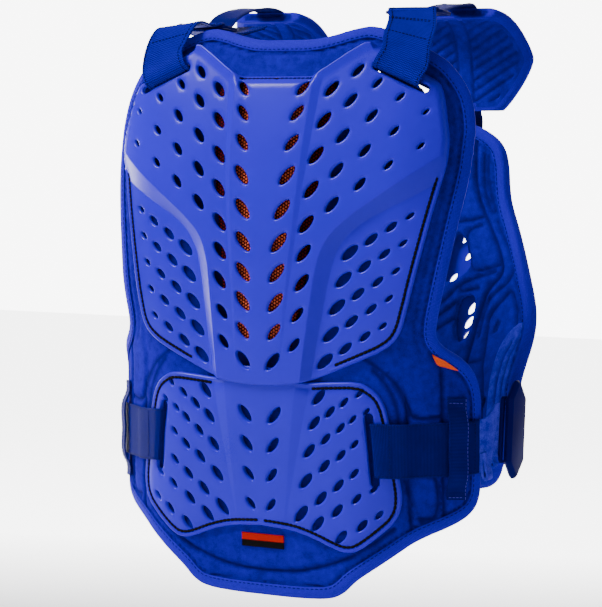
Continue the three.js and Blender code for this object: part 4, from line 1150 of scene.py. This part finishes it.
cap_end = -CAP_WAY[-1]
CAP_HALF = softened([(0, cap_end), (18, cap_end), (25, cap_end + 2), (44, cap_end + 25),
                     (57, cap_end + 47), (57, cap_end + 55), (44, -22), (33, -1), (28, 0),
                     (0, 0)], 1)


def cap_ribs(s, t):
    """Depth of the cap's slanting channels and of its band's two seams."""
    wave = np.abs((t - 0.62 * s) / 10.5 % 1 - 0.5) * 10.5
    band = (s > -18) & (s < -3)
    seams = np.maximum(hump(s, -18, 1.2), hump(s, -3, 1.2))
    rim = np.clip(distance(CAP_HALF, np.abs(s), t) / 9, 0, 1) > 0.95
    return np.maximum(hump(wave, 0, 1.7) * ~band * rim, seams)


CAP_SECTION = [(d, h + (CAP_THICK if h > -5 else CAP_THICK + 1)) for d, h in TAPE_SECTION]


def shoulder_cap(side):
    # The cap's slanting channels and band seams are sunk and also painted darker, as shade
    cap = panel(f"cap_{side}", CAP_HALF, on_cap,
                lambda s, t: CAP_THICK + 1.0 - 1.3 * cap_ribs(s, t),
                lambda s, t: -1.0 + 1.7 * cap_ribs(s, t), 1.9, (), (), SOFT_RIM,
                tone=lambda s, t: 0.5 * cap_ribs(s, t), under_rim=1.0)
    rim_tape = tape(f"cap_tape_{side}", CAP_HALF, on_cap, CAP_SECTION, 2.5)
    if side == "right":
        flipped(cap)
        flipped(rim_tape)
    dress(cap, BACK_LINER, "liner", [f"shoulder_cap_{side}"], 60)
    dress(rim_tape, TAPE, "binding", angle=50)


def back_strap(side, crest):
    rear = BUCKLE_Y + BUCKLE_REACH
    stations = [(BUCKLE_X, rear - BAR / 2 + along, crest + above) for along, above in AROUND[:-2]]
    over = []
    for i, point in enumerate(CAP_POINTS):
        t = -CAP_WAY[np.argmin(np.linalg.norm(CAP_PATH - point, axis=1))]
        _, y, z = on_cap(0, t, CAP_THICK + 1.4 + 0.9)
        over.append((CAP_X + (92 - CAP_X) * i / 5, y, z))
    first = over[0][1]
    stations += [(BUCKLE_X, rear + along * (first - rear), up * 20 + slump * crest)
                 for along, up, slump in ((0.05, 0.15, 1), (0.25, 0.45, 0.4), (0.61, 0.9, 0))]
    stations += over
    stations += [on_back(90, z, BACK_THICK + ON_LINER + BACK_SEAT) for z in (-83, -95, -106)]
    webbing(f"back_webbing_{side}", [(centre, (REAR_HALF, 0, 0)) for centre in stations], 1.9,
            BELT, [f"back_strap_{side}"], along=(-0.86, 0.86), rows=(0.93, 0.97))


WAIST, WAIST_SLOPE, WAIST_RUN = (110, -406), -84.5, 104
WING_OUT = 206
BUCKLE_OUT, BUCKLE_MIDDLE, BUCKLE_LONG = 200.4, 4.5, 41
BELT_SEAMS = (-0.93, 0.93)


def waist_pieces(side, climb):
    lift = WAIST[1] + climb
    front = BUCKLE_MIDDLE - BUCKLE_LONG / 2
    rear = BUCKLE_MIDDLE + BUCKLE_LONG / 2 - BAR / 2
    bar = 1.5 + BAR_OVER
    lining = ON_LINER + 0.8
    upright = (0, 0, BELT_HALF)

    def over(share, up, h):
        return chest_station(WAIST[0] + share * WAIST_RUN, WAIST[1] + up * climb, h, 90,
                             BELT_HALF)

    def aside(inset, y):
        return (BUCKLE_OUT + inset, y, lift), upright
    web = [crossing(WAIST, WAIST_SLOPE, forward, h, -BELT_HALF) for forward, h in (
        (1, SHELL_SEAT), (1, SHELL_SEAT + 1.8), (1.6, ON_SHELL - 0.5), (4.5, ON_SHELL + 0.4))]
    web += [over(share, up, h) for share, up, h in (
        (0.16, 0.02, ON_SHELL + 0.5), (0.29, 0.04, ON_SHELL + 0.2), (0.4, 0.08, ON_LINER + 1.0),
        (0.52, 0.12, lining), (0.65, 0.16, lining), (0.78, 0.2, lining),
        (0.9, 0.26, lining + 0.5), (0.97, 0.32, lining + 0.6))]
    webbing(f"waist_webbing_{side}", web, 1.8, BELT, [f"waist_strap_{side}"],
            along=BELT_SEAMS, rows=(0.2, 0.97))
    plush = [over(0.975, 0.33, lining + 0.4), over(1.01, 0.36, lining + 1.5),
             over(1.08, 0.6, lining + 1.5), aside(-bar - 0.6, front - 4)]
    plush += [aside(-above, front + BAR / 2 + along) for along, above in AROUND[2:]]
    webbing(f"waist_elastic_{side}", plush, 2.4, PLUSH)
    rear_web = [(on_back(share * WING_OUT, lift, BACK_THICK + ON_LINER + BACK_SEAT), upright)
                for share in (0.67, 0.76, 0.84, 0.92, 1)]
    rear_web.append(aside(-bar - 0.5, rear + BAR / 2 + 4))
    rear_web += [aside(-above, rear - along) for along, above in AROUND[2:]]
    webbing(f"back_waist_webbing_{side}", rear_web, 1.8, BELT, [f"back_waist_strap_{side}"],
            along=BELT_SEAMS, rows=(0.08, 0.13))
    top = ON_LINER + 1.8 + 0.6 + 1.4
    keep = [chest_station(188, WAIST[1] + 0.19 * climb + share * 94, h, 0, 10) for share, h in (
        (-0.5, ON_LINER), (-0.38, ON_LINER + 0.2), (-0.29, top), (0, top + 0.6), (0.29, top),
        (0.38, ON_LINER + 0.2), (0.5, ON_LINER))]
    webbing(f"keeper_{side}", keep, 1.8, BELT, [f"strap_keeper_{side}"], along=(0.88,),
            rows=(0.05, 0.95), thread=PALE_THREAD)


def slack_loop(name, y, drop, half):
    """A fold of the waist elastic that hangs below its strap."""
    path = [(-3.2, 4), (-1.6, -0.4 * drop), (0.8, -0.85 * drop), (0.2, -drop), (-2.6, -0.95 * drop),
            (-4.6, -0.5 * drop), (-5.0, 3)]
    webbing(name, [((BUCKLE_OUT - 3 + x, y - 0.12 * z, -408 + z), (0, half, 0.18 * half))
                   for x, z in path], 2.6, PLUSH, wave=0.5, step=1.2)


slack_loop("slack_loop_front", -35, 21, 5.5)
slack_loop("slack_loop_rear", -20, 10, 3.5)


def refined(name, node, width):
    """A moulded part from its node, every edge rounded."""
    made = bpy.data.objects.new(name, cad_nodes[node].data.copy())
    bpy.context.collection.objects.link(made)
    only(made)
    bpy.ops.object.mode_set(mode="EDIT")
    bpy.ops.mesh.select_all(action="SELECT")
    bpy.ops.mesh.remove_doubles(threshold=0.00001)
    bpy.ops.mesh.dissolve_limited(angle_limit=math.radians(3))
    bpy.ops.object.mode_set(mode="OBJECT")
    round_over = made.modifiers.new("round_over", "BEVEL")
    round_over.width, round_over.segments = width * MM, 3
    round_over.limit_method, round_over.angle_limit = "ANGLE", math.radians(25)
    bpy.ops.object.modifier_apply(modifier="round_over")
    return dress(made, PLASTIC, "fitting", [node], 35)


for side, crest, climb in (("left", 0, 22), ("right", -11, 5)):
    shoulder_strap(side, crest)
    shoulder_cap(side)
    back_strap(side, crest)
    waist_pieces(side, climb)
    refined(f"shoulder_frame_{side}", f"shoulder_buckle_{side}", 0.9)
    refined(f"waist_frame_{side}", f"waist_buckle_{side}", 0.9)
    refined(f"guard_{side}", f"buckle_guard_{side}", 1.6)

# The right shoulder strap's loose tail, with its hook patch below

TAIL = [(113, -63.5, -14.6), (112, -52, -14.9), (110, -40, -15.3), (106, -22, -12.8),
        (101, -6, -7.5), (97, 8, -2.5)]
webbing("strap_tail_right", [(point, (22, 3, 0)) for point in TAIL], 2.0, STRAP,
        along=(-0.88, 0.88), rows=(0.95,), wave=0.4)
webbing("hook_patch_right", [((x, y, z - 1.8), (19.5, 2.6, 0)) for x, y, z in TAIL[2:]], 1.5,
        HOOK, wave=0.5, step=1.5)

# Small sewn pieces

TAB_ROWS = [(163.9, -316.8, -315.8), (168, -324.6, -317.9), (176, -327.2, -321.4),
            (182, -328.7, -325), (188.3, -329.8, -329.2)]
LABEL_ROWS = [(s, -504.6, -491.6) for s in (-22, -10, 0, 10, 22)]


def strip(rows, h):
    """Stations of a small cloth piece, from its lower and upper edge out along the chest."""
    return [(on_chest(s, (low + high) / 2, h),
             on_chest(s, high, h) - on_chest(s, (low + high) / 2, h)) for s, low, high in rows]


webbing("side_flag", strip(TAB_ROWS, 1.6), 1.4, TAB, ["side_tab"], "tab", wave=0.1, step=1.5)
webbing("hem_flag", strip(LABEL_ROWS, 1.7), 1.2, LABEL, ["hem_label"], "label", wave=0.1)

# Camera, light and floor

across = Vector((0.89013, 0.45354, 0.04449))
rise = Vector((-0.03964, -0.02020, 0.99901))
back = Vector((0.45399, -0.89101, 0.0))
CAMERA_AT = (0.95490, -1.91525, -0.27524)
lens = bpy.data.cameras.new("photo_view")
lens.sensor_width = 36
lens.lens = 130.18
lens.clip_end = 50
camera = bpy.data.objects.new("photo_view", lens)
bpy.context.collection.objects.link(camera)
camera.matrix_world = Matrix((*zip(across, rise, back, CAMERA_AT), (0, 0, 0, 1)))
bpy.context.scene.camera = camera


def softbox(name, place, size, power):
    lamp = bpy.data.lights.new(name, "AREA")
    lamp.shape = "RECTANGLE"
    lamp.size, lamp.size_y = size
    lamp.energy = power
    made = bpy.data.objects.new(name, lamp)
    bpy.context.collection.objects.link(made)
    made.location = place
    made.rotation_euler = (LIT_POINT - made.location).to_track_quat("-Z", "Y").to_euler()


LIT_POINT = Vector((0.0, 0.0, -0.28))
softbox("key_left", (-1.5, -1.5, 1.9), (1.0, 1.4), 128)
softbox("left_strip", (-2.3, 0.3, -0.2), (0.5, 0.8), 26)
softbox("top_front", (-0.7, -1.4, 2.0), (1.8, 1.2), 6)
softbox("right_fill", (2.6, 0.9, 0.5), (0.9, 2.0), 3)
softbox("rear_rim", (0.3, 2.2, 1.2), (2.0, 1.2), 22)

# The room is dim, with a lit backdrop fixed on one side of it: the side that lies behind the
# object from where the photograph was taken
world = bpy.data.worlds.new("studio")
world.use_nodes = True
room = world.node_tree
sky = room.nodes["Background"]
sky.inputs[0].default_value = (1, 1, 1, 1)
way = room.nodes.new("ShaderNodeTexCoord")
toward = room.nodes.new("ShaderNodeVectorMath")
toward.operation = "DOT_PRODUCT"
toward.inputs[1].default_value = -back
room.links.new(way.outputs["Generated"], toward.inputs[0])
glow = room.nodes.new("ShaderNodeMapRange")
glow.interpolation_type = "SMOOTHSTEP"
for socket, value in zip(("From Min", "From Max", "To Min", "To Max"), (0.86, 0.975, 0.22, 8.0)):
    glow.inputs[socket].default_value = value
room.links.new(toward.outputs["Value"], glow.inputs["Value"])
room.links.new(glow.outputs[0], sky.inputs[1])
bpy.context.scene.world = world

bpy.ops.object.select_all(action="DESELECT")
bpy.ops.mesh.primitive_plane_add(size=60, location=(0, 0, -0.62))
floor = bpy.context.active_object
floor.name = "floor"
# Painted light: the floor glows in a patch on the far side of the object from the camera, fading to
# the sides and towards it
white = Finish("floor_white", Roughness=0.7, Specular_IOR_Level=0.2, Emission_Strength=5.0)
spot = white.node("ShaderNodeSeparateXYZ", None, {0: white.place()})
ahead = spot * -back[0] + spot.out(1) * -back[1]
aside = white.sum("ABSOLUTE", spot * -back[1] + spot.out(1) * back[0])
floor_glow = white.clamp(ahead, 0.15, 1.0) * (1 - white.clamp(aside - 0.35 * ahead, 0.2, 1.4))
floor.data.materials.append(white.feed(
    Base_Color=white.blend(white.noise(3, 2), (0.86, 0.86, 0.87), (0.90, 0.90, 0.90)),
    Emission_Color=white.blend(floor_glow, (0, 0, 0), (1, 1, 1))))
